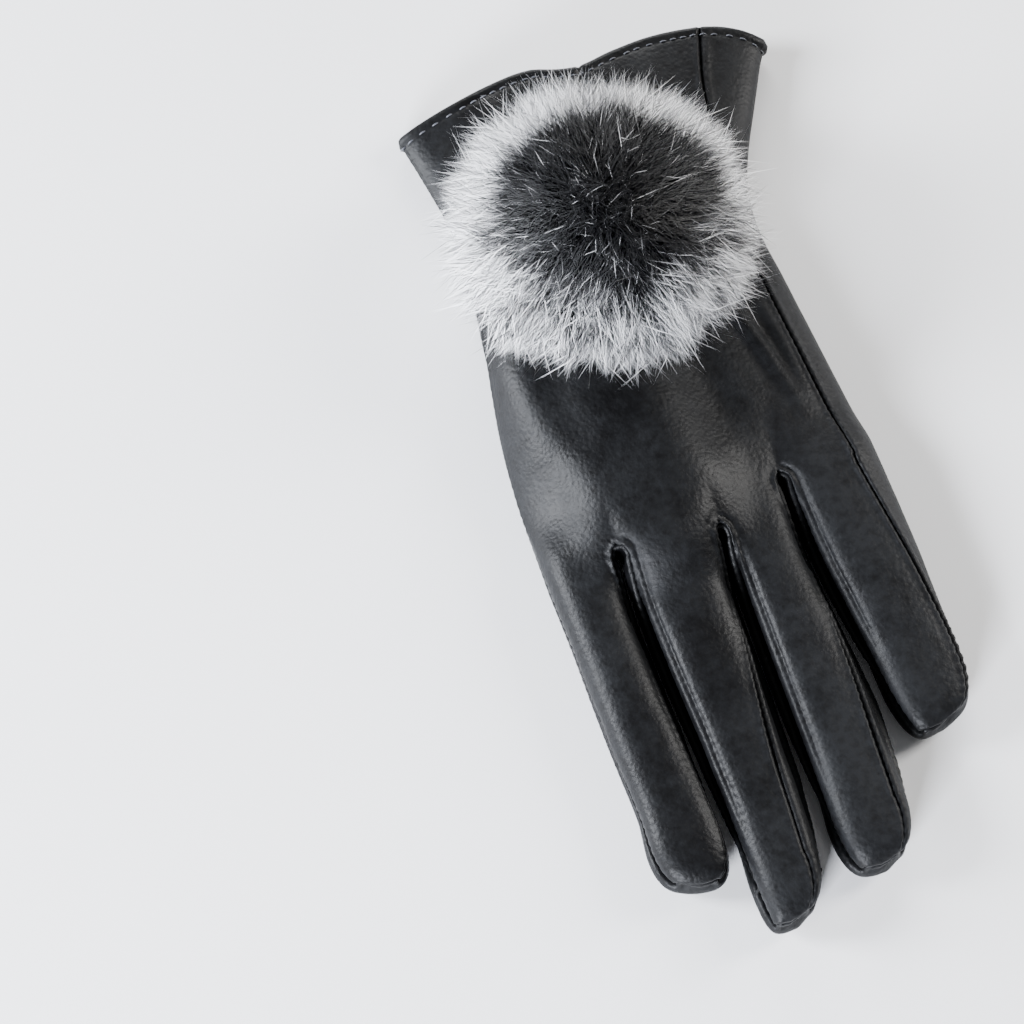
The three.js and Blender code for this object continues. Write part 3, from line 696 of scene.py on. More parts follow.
@dataclass
class Leather:
    """The glove's leather: all panels worked out as one skin, then parted along their seams."""

    form: HandForm = field(default_factory=HandForm)
    wall: float = 1.4
    seam_roll: float = 0.7  # how far in from a seam the leather starts to turn down
    seam_depth: float = 0.8
    lip_place: float = 0.95  # distance from the seam to the crest of the leather's raised edge
    lip_half_width: float = 0.55
    lip_height: float = 0.42
    pucker_pitch: float = 2.4
    pucker_height: float = 0.2
    hem_roll: float = 0.9
    hem_turn: float = 10.0  # width of the hem that is turned inside
    stitch_line: float = 2.8
    row_spacing: float = 0.62
    palm_rows_fine: tuple[float, ...] = (0, 0.15, 0.35, 0.6, 0.9, 1.3, 1.8, 2.3, 2.8, 3.3, 3.9, 4.6, 5.4)
    root_rows_fine: tuple[float, ...] = (0.03, 0.09, 0.18, 0.3, 0.45, 0.65, 0.9, 1.2, 1.6, 2.1, 2.6)
    palm_length: float = 132.0  # about how long the palm is, from hem to root
    palm_row_runs: tuple[tuple[float, int], ...] = ((3 / 13, 28), (1, 118))  # where each ends, how many rows
    half_columns: tuple[float, ...] = (
        0, 0.16, 0.32, 0.48, 0.62, 0.73, 0.81, 0.866, 0.905, 0.94, 0.965, 0.985, 1,
    )
    sewn_columns: tuple[float, ...] = (
        0.18, 0.35, 0.5, 0.62, 0.71, 0.78, 0.808, 0.832, 0.854, 0.874, 0.893, 0.914,
    )
    shared_columns: int = 4  # the last columns beside a seam, which both sides have
    gap_lip_place: float = 0.75  # distance in plan from a gap between fingers to its raised edge
    gap_lip_height: float = 0.34
    gap_seam_place: float = 1.7  # and to the sewn line behind that edge
    gap_seam_depth: float = 0.58
    gap_half_width: float = 0.5
    gap_stitch_pitch: float = 2.2
    gap_fades_over: tuple[float, float] = (14, 34)  # from the fingertip, where that line begins
    hem_stitch_half_width: float = 0.55
    hem_stitch_depth: float = 0.28
    welt_place: float = 1.45  # distance from the hem's edge to the crest of its welt
    welt_half_width: float = 0.8
    welt_height: float = 0.22
    seam_rounds: int = 14  # how many edges of the mesh the distance from a seam is followed over
    hem_rounds: int = 34
    inner_floor: float = 0.3  # lowest level of the inside face
    strip_shares: tuple[float, ...] = (0, 0.25, 0.5, 0.75, 1)
    lap_shares: tuple[float, ...] = (0, 0.06, 0.13, 0.22, 0.33, 0.46, 0.6, 0.74, 0.86, 0.94, 1)
    wall_shares: tuple[float, ...] = (0, 0.06, 0.14, 0.25, 0.4, 0.6, 0.75, 0.86, 0.94, 1)
    tip_end: float = 0.95  # where the back panel ends round the tip, in its middle
    tip_bow: float = 0.05  # how much sooner it ends at its sides
    wrap_rows: int = 8
    tip_rows: int = 30
    wrap_spacing: float = 1.7  # above 1 the rows round the tip are closer together at its end
    smoothing: float = 10.0  # in square mm, the spread of the even smoothing
    smoothing_rounds: int = 90
    skin: SkinMesh | None = None
    outer_points: np.ndarray | None = None
    outer_normals: np.ndarray | None = None
    hem_distance: np.ndarray | None = None

    def palm_rows(self) -> np.ndarray:
        """Places of the rows from hem to root, closest together at the hem.

        Returns:
            The rows, from 0 at the hem to 1 at the root.
        """
        rows = [np.array(self.palm_rows_fine) / self.palm_length]
        for end, count in self.palm_row_runs:
            rows.append(np.linspace(rows[-1][-1], end, count)[1:])
        return np.concatenate(rows)

    def rows(self, finger: int) -> np.ndarray:
        """All rows of one finger down to where its tip starts to round off.

        Args:
            finger: which finger.

        Returns:
            The rows, in the terms of HandForm.surface().
        """
        f = self.form.fingers[finger]
        length = abs(f.round_from - f.left_root)
        close = np.array(self.root_rows_fine) / length
        rest = np.linspace(close[-1], 1, int(length / self.row_spacing))[1:]
        return np.concatenate([self.palm_rows(), 1 + close, 1 + rest])

    def columns(self) -> np.ndarray:
        """Places across one finger's back panel, closest together at its left, where a line is sewn."""
        sewn = np.array(self.sewn_columns + self.half_columns[-self.shared_columns :])
        return np.concatenate([-sewn[::-1], self.half_columns])

    def tip_turn(self, share: np.ndarray, q: np.ndarray) -> np.ndarray:
        """Rows of the back panel round the tip, which end sooner at its sides.

        Args:
            share: 0 where the tip starts to round off, 1 at the panel's end.
            q: places across the panel.

        Returns:
            The places along the column.
        """
        return 2 + share * (self.tip_end - self.tip_bow * np.clip(np.abs(q), 0, 1) ** 2)

    def finger_patches(self, finger: int) -> list[tuple[np.ndarray, int, bool]]:
        """The grids of one finger's column.

        Args:
            finger: which finger.

        Returns:
            The grids with their panels and the way that their faces turn.
        """
        form = self.form
        names = list(Panel)
        back, palm = names.index(Panel.BACK), names.index(Panel.PALM)
        little = finger == len(form.fingers) - 1
        left_owner = palm if finger == 0 else names.index(Panel.FOURCHETTE_1) + finger - 1
        right_owner = palm if little else names.index(Panel.FOURCHETTE_1) + finger
        q = self.columns()[None, :]
        rows = self.rows(finger)
        tip_shares = np.linspace(0, 1, self.tip_rows + 1)[1:]
        straight = np.broadcast_to(rows[:, None], (len(rows), q.shape[1]))
        along = np.concatenate([straight, self.tip_turn(tip_shares[:, None], q)])
        right = form.right_seam(finger, along)
        upper = form.surface(finger, lerp(-1.0, right, (q + 1) / 2), along, 0)
        patches: list[tuple[np.ndarray, int, bool]] = [(upper, back, False)]
        edge_along = np.concatenate([rows, self.tip_turn(tip_shares, np.ones(self.tip_rows))])
        shares = np.array(self.lap_shares if little else self.strip_shares)
        first = len(self.palm_rows()) - 1
        strip = self.strip(finger, edge_along, form.right_seam(finger, edge_along), shares)
        patches.append((strip if little else strip[first:], right_owner, False))
        patches += self.side_walls(finger, edge_along[first:], left_owner, right_owner)
        patches += self.lower_patches(finger, edge_along, shares)
        return patches

    def strip(self, finger: int, along: np.ndarray, start: np.ndarray, shares: np.ndarray) -> np.ndarray:
        """The strip of the upper surface between the back panel's right seam and the column's edge.

        Args:
            finger: which finger.
            along: its rows.
            start: p of the seam at each row.
            shares: its columns, from 0 at the seam to 1 at the edge.

        Returns:
            A grid of points.
        """
        p = lerp(start[:, None], 1.0, shares[None, :])
        return self.form.surface(finger, p, np.broadcast_to(along[:, None], p.shape), 0)

    def side_walls(self, finger: int, along: np.ndarray, left_owner: int, right_owner: int) -> list:
        """The fourchettes' walls on both sides of a finger.

        Args:
            finger: which finger.
            along: rows from the root on.
            left_owner: panel of the wall on the index side.
            right_owner: panel of the other wall.

        Returns:
            Grids with their panels and the way that their faces turn.
        """
        walls = []
        for side, owner in ((0, left_owner), (1, right_owner)):
            if self.form.outer(finger, side):
                continue
            p = np.full_like(along, 2.0 * side - 1)
            grid = np.stack([self.form.surface(finger, p, along, s) for s in self.wall_shares], axis=1)
            walls.append((grid, owner, side == 0))
        return walls

    def lower_patches(self, finger: int, edge_along: np.ndarray, strip_shares: np.ndarray) -> list:
        """The palm side of a finger's column, and the palm leather that comes up round its tip.

        Args:
            finger: which finger.
            edge_along: the rows along the finger's sides.
            strip_shares: columns between the back panel and the right edge.

        Returns:
            Grids with their panels and the way that their faces turn.
        """
        form = self.form
        palm = list(Panel).index(Panel.PALM)
        tail = len(strip_shares) - 1
        across = np.concatenate([self.columns(), np.ones(tail)])
        shares = 1 - (1 - np.linspace(0, 1, self.wrap_rows + 1)) ** self.wrap_spacing
        start = self.tip_turn(np.ones_like(across), across)
        along = lerp(start[None, :], 3.0, shares[:, None])
        right = form.right_seam(finger, along)
        p = lerp(-1.0, right, (across + 1) / 2)
        p[:, -tail:] = lerp(right[:, -tail:], 1.0, strip_shares[None, 1:])
        wrap = form.surface(finger, p, along, 0)
        below_along = np.concatenate([edge_along, lerp(edge_along[-1], 3.0, shares[1:])])
        below_p = np.broadcast_to(p[-1][None, :], (len(below_along), len(across)))
        below = form.surface(finger, below_p, below_along[:, None], 1)
        return [(wrap, palm, False), (below, palm, True)]

    def build_skin(self) -> SkinMesh:
        """Joins all fingers' grids into one skin and relaxes its kinks.

        Returns:
            The joined and relaxed outer skin.
        """
        patches = []
        for finger in range(len(self.form.fingers)):
            patches += self.finger_patches(finger)
        skin = weld(patches)
        log.info("skin: %d points, %d triangles", len(skin.points), len(skin.triangles))
        self.skin = skin
        self.relax(skin)
        return skin

    def relax(self, skin: SkinMesh) -> None:
        """Evens out kinks over the hand, with the seams and the hem held in place.

        Solves one implicit step of heat flow over the mesh with conjugate gradients, so that close rows and
        wide rows are smoothed alike.

        Args:
            skin: the mesh to even out.
        """
        edges, first, second = skin.edges()
        free = np.ones((len(skin.points), 1))
        free[np.unique(edges[first != second])] = 0
        soft = skin.panels < list(Panel).index(Panel.FOURCHETTE_1)
        corners = skin.points[skin.triangles]
        ends: list[np.ndarray] = []
        weights: list[np.ndarray] = []
        for k in range(3):
            pair = [(k + 1) % 3, (k + 2) % 3]
            a, b = (corners[:, other] - corners[:, k] for other in pair)
            doubled = np.maximum(np.linalg.norm(np.cross(a, b), axis=1), 1e-7)
            middle_y = corners[:, pair, 1].mean(axis=1)
            share = 0.3 * smoothstep(middle_y, -66, -34) + 0.7 * smoothstep(middle_y, -24, 2)
            spread = np.where(soft, self.smoothing * share, 0.1)
            weights.append(0.5 * np.clip((a * b).sum(axis=1) / doubled, 0, 40) * spread)
            ends.append(skin.triangles[:, pair])
        area = np.bincount(skin.triangles.ravel(), np.repeat(doubled / 6, 3), len(skin.points))[:, None]
        i, j = np.concatenate(ends).T
        weight = np.concatenate(weights)
        count = len(skin.points)
        pull = (np.bincount(i, weight, count) + np.bincount(j, weight, count))[:, None]

        def flow(values: np.ndarray) -> np.ndarray:
            """Applies the step's matrix.

            Args:
                values: one row for each vertex.

            Returns:
                The new rows.
            """
            total = (area + pull) * values
            for axis in range(3):
                column = values[:, axis]
                drawn = np.bincount(i, weight * column[j], count)
                total[:, axis] -= drawn + np.bincount(j, weight * column[i], count)
            return total

        scale = free / (area + pull)
        rest = free * (area * skin.points - flow(skin.points))
        ready = scale * rest
        search = ready.copy()
        energy = (rest * ready).sum()
        for _ in range(self.smoothing_rounds):
            image = free * flow(search)
            step = energy / max((search * image).sum(), 1e-20)
            skin.points += step * search
            rest -= step * image
            ready = scale * rest
            renewed = (rest * ready).sum()
            if renewed < 1e-9:
                break
            search = ready + renewed / energy * search
            energy = renewed

    def sewn_gaps(
        self, skin: SkinMesh, edges: np.ndarray, first: np.ndarray, second: np.ndarray
    ) -> np.ndarray:
        """The line sewn beside each gap between the fingers, with the raised edge before it.

        It runs down the left side of the finger behind the gap and turns round the gap's end.

        Args:
            skin: the outer skin.
            edges: its edges.
            first: each edge's first panel.
            second: each edge's second panel.

        Returns:
            The relief at every vertex.
        """
        relief = np.zeros(len(skin.points))
        used = np.unique(skin.triangles[skin.panels == list(Panel).index(Panel.BACK)])
        for slot in range(len(self.form.fingers) - 1):
            fourchette = list(Panel).index(Panel.FOURCHETTE_1) + slot
            beside = (np.minimum(first, second) == 0) & (np.maximum(first, second) == fourchette)
            border = np.unique(edges[beside])
            tree = kdtree.KDTree(len(border))
            for x, y, _ in skin.points[border]:
                tree.insert((x, y, 0), 0)
            tree.balance()
            end = skin.points[border, 1].max()
            low, high = skin.points[border].min(axis=0) - 4, skin.points[border].max(axis=0) + 4
            near = used[((skin.points[used] > low) & (skin.points[used] < high))[:, :2].all(axis=1)]
            hits = [tree.find((x, y, 0)) for x, y, _ in skin.points[near]]
            border_x = np.array([place[0] for place, _, _ in hits])
            away = np.array([distance for _, _, distance in hits])
            x, y = skin.points[near, 0], skin.points[near, 1]
            right_arm = smoothstep(y - self.form.fingers[slot + 1].tip, *self.gap_fades_over)
            left_arm = 0.7 * smoothstep(y, end - 8, end - 1)
            shown = lerp(left_arm, right_arm, smoothstep(x - border_x, -0.3, 0.3))
            stitches = 0.82 + 0.18 * np.cos(2 * math.pi * y / self.gap_stitch_pitch)
            lip = self.gap_lip_height * hump(away, self.gap_lip_place, self.gap_half_width)
            line = self.gap_seam_depth * hump(away, self.gap_seam_place, self.gap_half_width)
            relief[near] += shown * (lip - line * stitches)
        return relief

    def closed_slit(self) -> Fold:
        """The short slit in the hem: its two lobes touch, so that only a crease shows.

        Returns:
            The crease, from a little beyond the hem on.
        """
        places = self.form.surface(1, np.array([0.94, 0.94]), np.array([0.0, 0.19]), 0)
        (top_x, top_y, _), (foot_x, foot_y, _) = places.tolist()
        beyond = (2 * top_x - foot_x, 2 * top_y - foot_y)
        return Fold((beyond, (top_x, top_y), (foot_x, foot_y)), -0.8, 0.6)

    def relief(
        self, points: np.ndarray, normals: np.ndarray, spots: Distances, gaps: np.ndarray
    ) -> np.ndarray:
        """How far seams, gathers, folds and the hem move the leather outwards.

        Args:
            points: the skin's points.
            normals: its normals.
            spots: how far the points are from seams and hem.
            gaps: the relief beside the gaps between the fingers.

        Returns:
            The movement along the normals, in mm.
        """
        x, y, _ = points.T
        seam, hem = spots.seam, spots.hem
        phase = 2 * math.pi * spots.along_seam / self.pucker_pitch + value_noise(points, 9.0, 3) * 2.2
        gathers = np.cos(phase) * hump(seam, 0, 2.0) * (0.65 + 0.5 * value_noise(points, 14.0, 5))
        relief = -self.seam_depth * (1 - quarter_round(seam, self.seam_roll))
        relief = relief + self.lip_height * hump(seam, self.lip_place, self.lip_half_width)
        relief += self.pucker_height * gathers
        relief *= 1 - 0.45 * smoothstep(-y, 70, 90) * smoothstep(-y - 0.55 * x, 60, 100)
        relief *= lerp(0.35, 1.0, smoothstep(hem, 0.0, 3.0))
        relief += gaps * smoothstep(normals[:, 2], 0.0, 0.3)
        relief -= self.hem_roll * (1 - quarter_round(hem, self.hem_roll))
        stitch = hump(hem, self.stitch_line, self.hem_stitch_half_width)
        welt = hump(hem, self.welt_place, self.welt_half_width) * smoothstep(hem, 0.2, 0.9)
        relief += self.welt_height * welt - self.hem_stitch_depth * stitch
        upper = smoothstep(normals[:, 2], 0.0, 0.5)
        relief += self.closed_slit().relief(x, y) * upper
        for fold in FOLDS:
            relief += fold.relief(x, y) * upper * smoothstep(seam, 0.5, 3.5) * smoothstep(hem, 0.0, 6.0)
        uneven = 0.3 * value_noise(points, 21.0, 11)
        relief += uneven * smoothstep(seam, 0.5, 5.0) * smoothstep(hem, 0.0, 5.0)
        relief += 0.10 * value_noise(points, 6.5, 12) * smoothstep(seam, 0.3, 3.0)
        return relief

    def depth(self, seam: np.ndarray, hem: np.ndarray) -> np.ndarray:
        """How deep the leather's inside face lies under the skin.

        Args:
            seam: each point's distance from the nearest seam.
            hem: its distance from the hem.

        Returns:
            The depth along the normals, in mm.
        """
        depth = self.seam_depth + (self.wall - self.seam_depth) * quarter_round(seam, self.wall)
        hem_depth = self.hem_roll * (1 + quarter_round(hem, self.hem_roll))
        hem_limit = np.where(seam < self.wall, depth, 99)
        doubled = 1 - smoothstep(hem, self.hem_turn, self.hem_turn + 1.0)
        depth = np.where(hem < self.hem_roll, np.minimum(hem_depth, hem_limit), depth + 0.4 * doubled)
        depth = np.where(seam < 1e-6, self.seam_depth, depth)
        return np.where(hem < 1e-6, self.hem_roll, depth)

    def finish_panels(self, skin: SkinMesh) -> list[tuple[Panel, np.ndarray, np.ndarray, np.ndarray]]:
        """Lays seams, puckers, folds and hem into the skin and parts it into closed panels.

        Args:
            skin: the outer skin.

        Returns:
            For each panel its name, points, triangles and a 1 for each triangle of the backing cloth.
        """
        edges, first, second = skin.edges()
        seam_edges = edges[(first != second) & (second >= 0)]
        seam, source = graph_distance(skin.points, edges, np.unique(seam_edges), self.seam_rounds)
        hem, _ = graph_distance(skin.points, edges, np.unique(edges[second < 0]), self.hem_rounds)
        spots = Distances(seam, chain_lengths(skin.points, seam_edges)[source], hem)
        normals = evened(skin.normals(), edges)
        gaps = self.sewn_gaps(skin, edges, first, second)
        outer = skin.points + normals * self.relief(skin.points, normals, spots, gaps)[:, None]
        outer[:, 2] = np.maximum(outer[:, 2], ABOVE_FLOOR)
        inner = skin.points - normals * self.depth(seam, hem)[:, None]
        inner[:, 2] = np.maximum(inner[:, 2], self.inner_floor)
        held = (seam < 1e-6) | (hem < 1e-6)
        inner[held] = outer[held]
        self.outer_points = outer
        self.outer_normals = SkinMesh(outer, skin.triangles, skin.panels).normals()
        self.hem_distance = hem
        parted = []
        for number, panel in enumerate(Panel):
            faces = skin.triangles[skin.panels == number]
            border = np.unique(edges[(first == number) != (second == number)])
            parted.append((panel, *self.closed_panel(faces, border, outer, inner)))
        return parted

    def closed_panel(
        self, faces: np.ndarray, border: np.ndarray, outer: np.ndarray, inner: np.ndarray
    ) -> tuple[np.ndarray, np.ndarray, np.ndarray]:
        """Closes one panel with its inside face.

        Args:
            faces: the panel's triangles in the skin.
            border: the skin's points along the panel's border, where both faces meet.
            outer: the skin's points on the outside.
            inner: and on the inside.

        Returns:
            Its points, its triangles and a 1 for each triangle of the backing cloth.
        """
        used = np.unique(faces)
        open_points = used[~np.isin(used, border)]
        outside = np.full(len(outer), -1)
        outside[used] = np.arange(len(used))
        inside = outside.copy()
        inside[open_points] = len(used) + np.arange(len(open_points))
        points = np.concatenate([outer[used], inner[open_points]])
        triangles = np.concatenate([outside[faces], inside[faces][:, ::-1]])
        deep = (self.hem_distance[faces].min(axis=1) > self.hem_turn).astype(int)
        return points, triangles, np.concatenate([np.zeros_like(deep), deep])


def tube_faces(rings: int, sides: int) -> np.ndarray:
    """Triangles of a tube whose points lie ring after ring.

    Args:
        rings: how many rings.
        sides: how many points each ring has.

    Returns:
        The triangles.
    """
    ids = np.arange(rings * sides).reshape(rings, sides)
    a, b = ids[:-1], ids[1:]
    c, d = np.roll(b, -1, axis=1), np.roll(a, -1, axis=1)
    return np.concatenate([np.stack([a, c, b], -1).reshape(-1, 3), np.stack([a, d, c], -1).reshape(-1, 3)])


def fan_faces(tip: int, ring: np.ndarray) -> np.ndarray:
    """Triangles from a tip to a closed ring of points."""
    return np.stack([np.full(len(ring), tip), np.roll(ring, -1), ring], 1)


def make_mesh(
    name: str, points: np.ndarray, triangles: np.ndarray, slots: np.ndarray | None = None
) -> bpy.types.Object:
    """Makes a smooth-shaded object from points in mm and triangles.

    Args:
        name: the object's name.
        points: its vertices, in mm.
        triangles: its faces.
        slots: material slot of each face, or None for the first everywhere.

    Returns:
        The new object, linked to the scene.
    """
    mesh = bpy.data.meshes.new(name)
    mesh.vertices.add(len(points))
    mesh.vertices.foreach_set("co", (points * MM).astype(np.float32).ravel())
    mesh.loops.add(triangles.size)
    mesh.loops.foreach_set("vertex_index", triangles.astype(np.int32).ravel())
    mesh.polygons.add(len(triangles))
    mesh.polygons.foreach_set("loop_start", np.arange(0, triangles.size, 3, dtype=np.int32))
    mesh.polygons.foreach_set("use_smooth", np.ones(len(triangles), dtype=bool))
    if slots is not None:
        mesh.polygons.foreach_set("material_index", slots.astype(np.int32))
    mesh.update(calc_edges=True)
    mesh.validate()
    piece = bpy.data.objects.new(name, mesh)
    bpy.context.scene.collection.objects.link(piece)
    return piece


def add_node(
    tree: bpy.types.NodeTree, kind: str, settings: dict | None = None, links: dict | None = None
) -> bpy.types.Node:
    """Adds one node with its settings and links.

    Args:
        tree: the node tree.
        kind: the node's type.
        settings: the node's own properties, such as operation.
        links: for each input, by name or number, a value or the socket that feeds it.

    Returns:
        The new node.
    """
    node = tree.nodes.new(kind)
    for name, value in (settings or {}).items():
        setattr(node, name, value)
    for name, value in (links or {}).items():
        if isinstance(value, bpy.types.NodeSocket):
            tree.links.new(value, node.inputs[name])
        else:
            node.inputs[name].default_value = value
    return node


def new_material(name: str) -> tuple[bpy.types.Material, bpy.types.NodeTree]:
    """Makes an empty node material.

    Args:
        name: the material's name.

    Returns:
        The material and its node tree.
    """
    material = bpy.data.materials.new(name)
    material.use_nodes = True
    material.node_tree.nodes.clear()
    return material, material.node_tree


def add_noise(
    tree: bpy.types.NodeTree, place: bpy.types.NodeSocket, cell_mm: float, detail: float, **more: float
) -> bpy.types.Node:
    """Adds a noise texture.

    Args:
        tree: the node tree.
        place: the socket that gives places in metres.
        cell_mm: size of the noise's cells, in mm.
        detail: how fine it gets.
        more: its other inputs, by name.

    Returns:
        The noise node.
    """
    links = {"Vector": place, "Scale": 1 / MM / cell_mm, "Detail": detail, **more}
    return add_node(tree, "ShaderNodeTexNoise", {}, links)


def add_maths(
    tree: bpy.types.NodeTree, operation: str, *values: float | bpy.types.NodeSocket
) -> bpy.types.NodeSocket:
    """Adds a sum of numbers or sockets.

    Args:
        tree: the node tree.
        operation: what to work out.
        values: the values that go in, in order.

    Returns:
        The socket with the result.
    """
    return add_node(tree, "ShaderNodeMath", {"operation": operation}, dict(enumerate(values))).outputs[0]


def add_bump(
    tree: bpy.types.NodeTree, height: bpy.types.NodeSocket, depth_mm: float, strength: float, **settings: bool
) -> bpy.types.NodeSocket:
    """Adds a bump map.

    Args:
        tree: the node tree.
        height: the socket that gives the height.
        depth_mm: how deep the bumps are, in mm.
        strength: how strongly they show.
        settings: the node's own properties.

    Returns:
        The socket with the bumped normal.
    """
    links = {"Strength": strength, "Distance": depth_mm * MM, "Height": height}
    return add_node(tree, "ShaderNodeBump", settings, links).outputs[0]


def mix_colours(
    tree: bpy.types.NodeTree,
    share: bpy.types.NodeSocket,
    low: str | bpy.types.NodeSocket,
    high: str | bpy.types.NodeSocket,
) -> bpy.types.NodeSocket:
    """Mixes two colours.

    Args:
        tree: the node tree.
        share: the socket that gives the share of the second colour.
        low: the first colour, as sRGB hex or a socket.
        high: the second colour, likewise.

    Returns:
        The socket with the mixed colour.
    """
    first, second = (linear(colour) if isinstance(colour, str) else colour for colour in (low, high))
    return add_node(tree, "ShaderNodeMix", {"data_type": "RGBA"}, {0: share, 6: first, 7: second}).outputs[2]


def add_surface(tree: bpy.types.NodeTree, links: dict) -> None:
    """Adds the surface shader with its links, and the output."""
    surface = add_node(tree, "ShaderNodeBsdfPrincipled", {}, links)
    add_node(tree, "ShaderNodeOutputMaterial", {}, {"Surface": surface.outputs[0]})


@dataclass(frozen=True)
class PolyurethaneLeather:
    """Faux leather: a polyurethane skin, embossed with a fine pebble and bonded to knitted cloth.

    It gives the eye a near-black, faintly blue surface with a satin shine that breaks up over the pebble.
    """

    name: str = "polyurethane_leather"
    dark: str = "#030304"
    light: str = "#131416"
    roughness: float = 0.41
    roughness_spread: float = 0.14
    ior: float = 1.45
    shine: float = 0.21  # specular level, under half of the usual: the matt top coat dulls the skin
    pebble_mm: float = 1.05  # real pebbles are about 0.6 mm; drawn coarser so that they show
    pore_mm: float = 0.35
    pebble_depth_mm: float = 0.14
    warp_mm: float = 2.2  # size of the waves that put the pebbles out of line
    warp_reach: float = 0.0006  # and how far they do, in metres
    mottle_mm: float = 2.4
    patch_mm: float = 26.0  # size of the patches that are somewhat duller or paler

    def make(self) -> bpy.types.Material:
        """Builds the material.

        Returns:
            The node material.
        """
        material, tree = new_material(self.name)
        place = add_node(tree, "ShaderNodeTexCoord").outputs["Object"]
        warp = add_noise(tree, place, self.warp_mm, 2.0)
        shifted = add_node(
            tree,
            "ShaderNodeVectorMath",
            {"operation": "MULTIPLY_ADD"},
            {0: warp.outputs["Color"], 1: (self.warp_reach,) * 3, 2: place},
        )
        pebble = add_node(
            tree,
            "ShaderNodeTexVoronoi",
            {"feature": "SMOOTH_F1"},
            {"Vector": shifted.outputs[0], "Scale": 1 / MM / self.pebble_mm, "Smoothness": 0.6},
        )
        pores = add_noise(tree, place, self.pore_mm, 2.0)
        patches = add_noise(tree, place, self.patch_mm, 4.0, Roughness=0.6)
        mottle = add_noise(tree, place, self.mottle_mm, 3.0, Roughness=0.7)
        height = add_maths(tree, "MULTIPLY_ADD", pores.outputs["Fac"], 0.5, pebble.outputs["Distance"])
        bump = add_bump(tree, height, self.pebble_depth_mm, 0.7, invert=True)
        both = add_maths(tree, "MULTIPLY", patches.outputs["Fac"], mottle.outputs["Fac"])
        share = add_node(
            tree, "ShaderNodeMapRange", {}, {"Value": both, "From Min": 0.14, "From Max": 0.36}
        )
        rough = add_node(
            tree,
            "ShaderNodeMapRange",
            {},
            {
                "Value": patches.outputs["Fac"],
                "From Min": 0.3,
                "From Max": 0.7,
                "To Min": self.roughness,
                "To Max": self.roughness + self.roughness_spread,
            },
        )
        links = {
            "Base Color": mix_colours(tree, share.outputs[0], self.dark, self.light),
            "Roughness": rough.outputs[0],
            "IOR": self.ior,
            "Specular IOR Level": self.shine,
            "Normal": bump,
        }
        add_surface(tree, links)
        return material


@dataclass(frozen=True)
class KnittedBacking:
    """Brushed polyester knit bonded inside the leather: matt charcoal with fine rows of loops."""

    name: str = "polyester_knit_backing"
    dark: str = "#121215"
    light: str = "#2c2c31"
    loop_mm: float = 0.9
    fuzz_mm: float = 0.7
    roughness: float = 0.95
    sheen: float = 0.25

    def make(self) -> bpy.types.Material:
        """Builds the material.

        Returns:
            The node material.
        """
        material, tree = new_material(self.name)
        place = add_node(tree, "ShaderNodeTexCoord").outputs["Object"]
        rows = add_node(
            tree,
            "ShaderNodeTexWave",
            {"wave_type": "BANDS", "bands_direction": "X"},
            {"Vector": place, "Scale": 1 / MM / self.loop_mm / 20, "Distortion": 2.0, "Detail": 2.0},
        )
        fuzz = add_noise(tree, place, self.fuzz_mm, 3.0)
        mixed = add_maths(tree, "MULTIPLY", rows.outputs["Fac"], fuzz.outputs["Fac"])
        links = {
            "Base Color": mix_colours(tree, mixed, self.dark, self.light),
            "Roughness": self.roughness,
            "Sheen Weight": self.sheen,
            "Normal": add_bump(tree, mixed, 0.2, 0.6),
        }
        add_surface(tree, links)
        return material


@dataclass(frozen=True)
class FrostedFur:
    """Modacrylic fur, dyed black and bleached at its tips: soft, pale ends over deep black roots.

    The hair's UV map gives u from root to tip and v for how much of the hair is frosted.
    """

    name: str = "modacrylic_fur"
    root: str = "#060608"
    middle: str = "#0f1013"
    tip: str = "#fbfbfd"
    roughness: float = 0.55
    ior: float = 1.45

    def make(self) -> bpy.types.Material:
        """Builds the material.

        Returns:
            The node material.
        """
        material, tree = new_material(self.name)
        place = add_node(tree, "ShaderNodeUVMap", {"uv_map": "OFBake"}).outputs[0]
        parts = add_node(tree, "ShaderNodeSeparateXYZ", {}, {0: place})
        start = add_maths(tree, "SUBTRACT", 1.0, parts.outputs["Y"])
        beyond = add_maths(tree, "SUBTRACT", parts.outputs["X"], start)
        frost = add_node(
            tree,
            "ShaderNodeMapRange",
            {"interpolation_type": "SMOOTHSTEP"},
            {"Value": beyond, "From Min": -0.06, "From Max": 0.16},
        )
        body = mix_colours(tree, parts.outputs["X"], self.root, self.middle)
        colour = mix_colours(tree, frost.outputs[0], body, self.tip)
        add_surface(tree, {"Base Color": colour, "Roughness": self.roughness, "IOR": self.ior})
        return material


@dataclass(frozen=True)
class PlainFinish:
    """A finish with little pattern: sewing thread, or the studio's painted floor."""

    name: str
    colour: str
    roughness: float
    twist_mm: float = 0.4  # size of its fine unevenness

    def make(self) -> bpy.types.Material:
        """Builds the material.

        Returns:
            The node material.
        """
        material, tree = new_material(self.name)
        place = add_node(tree, "ShaderNodeTexCoord").outputs["Object"]
        twist = add_noise(tree, place, self.twist_mm, 2.0)
        links = {
            "Base Color": linear(self.colour),
            "Roughness": self.roughness,
            "Normal": add_bump(tree, twist.outputs["Fac"], 0.05, 0.2),
        }
        add_surface(tree, links)
        return material


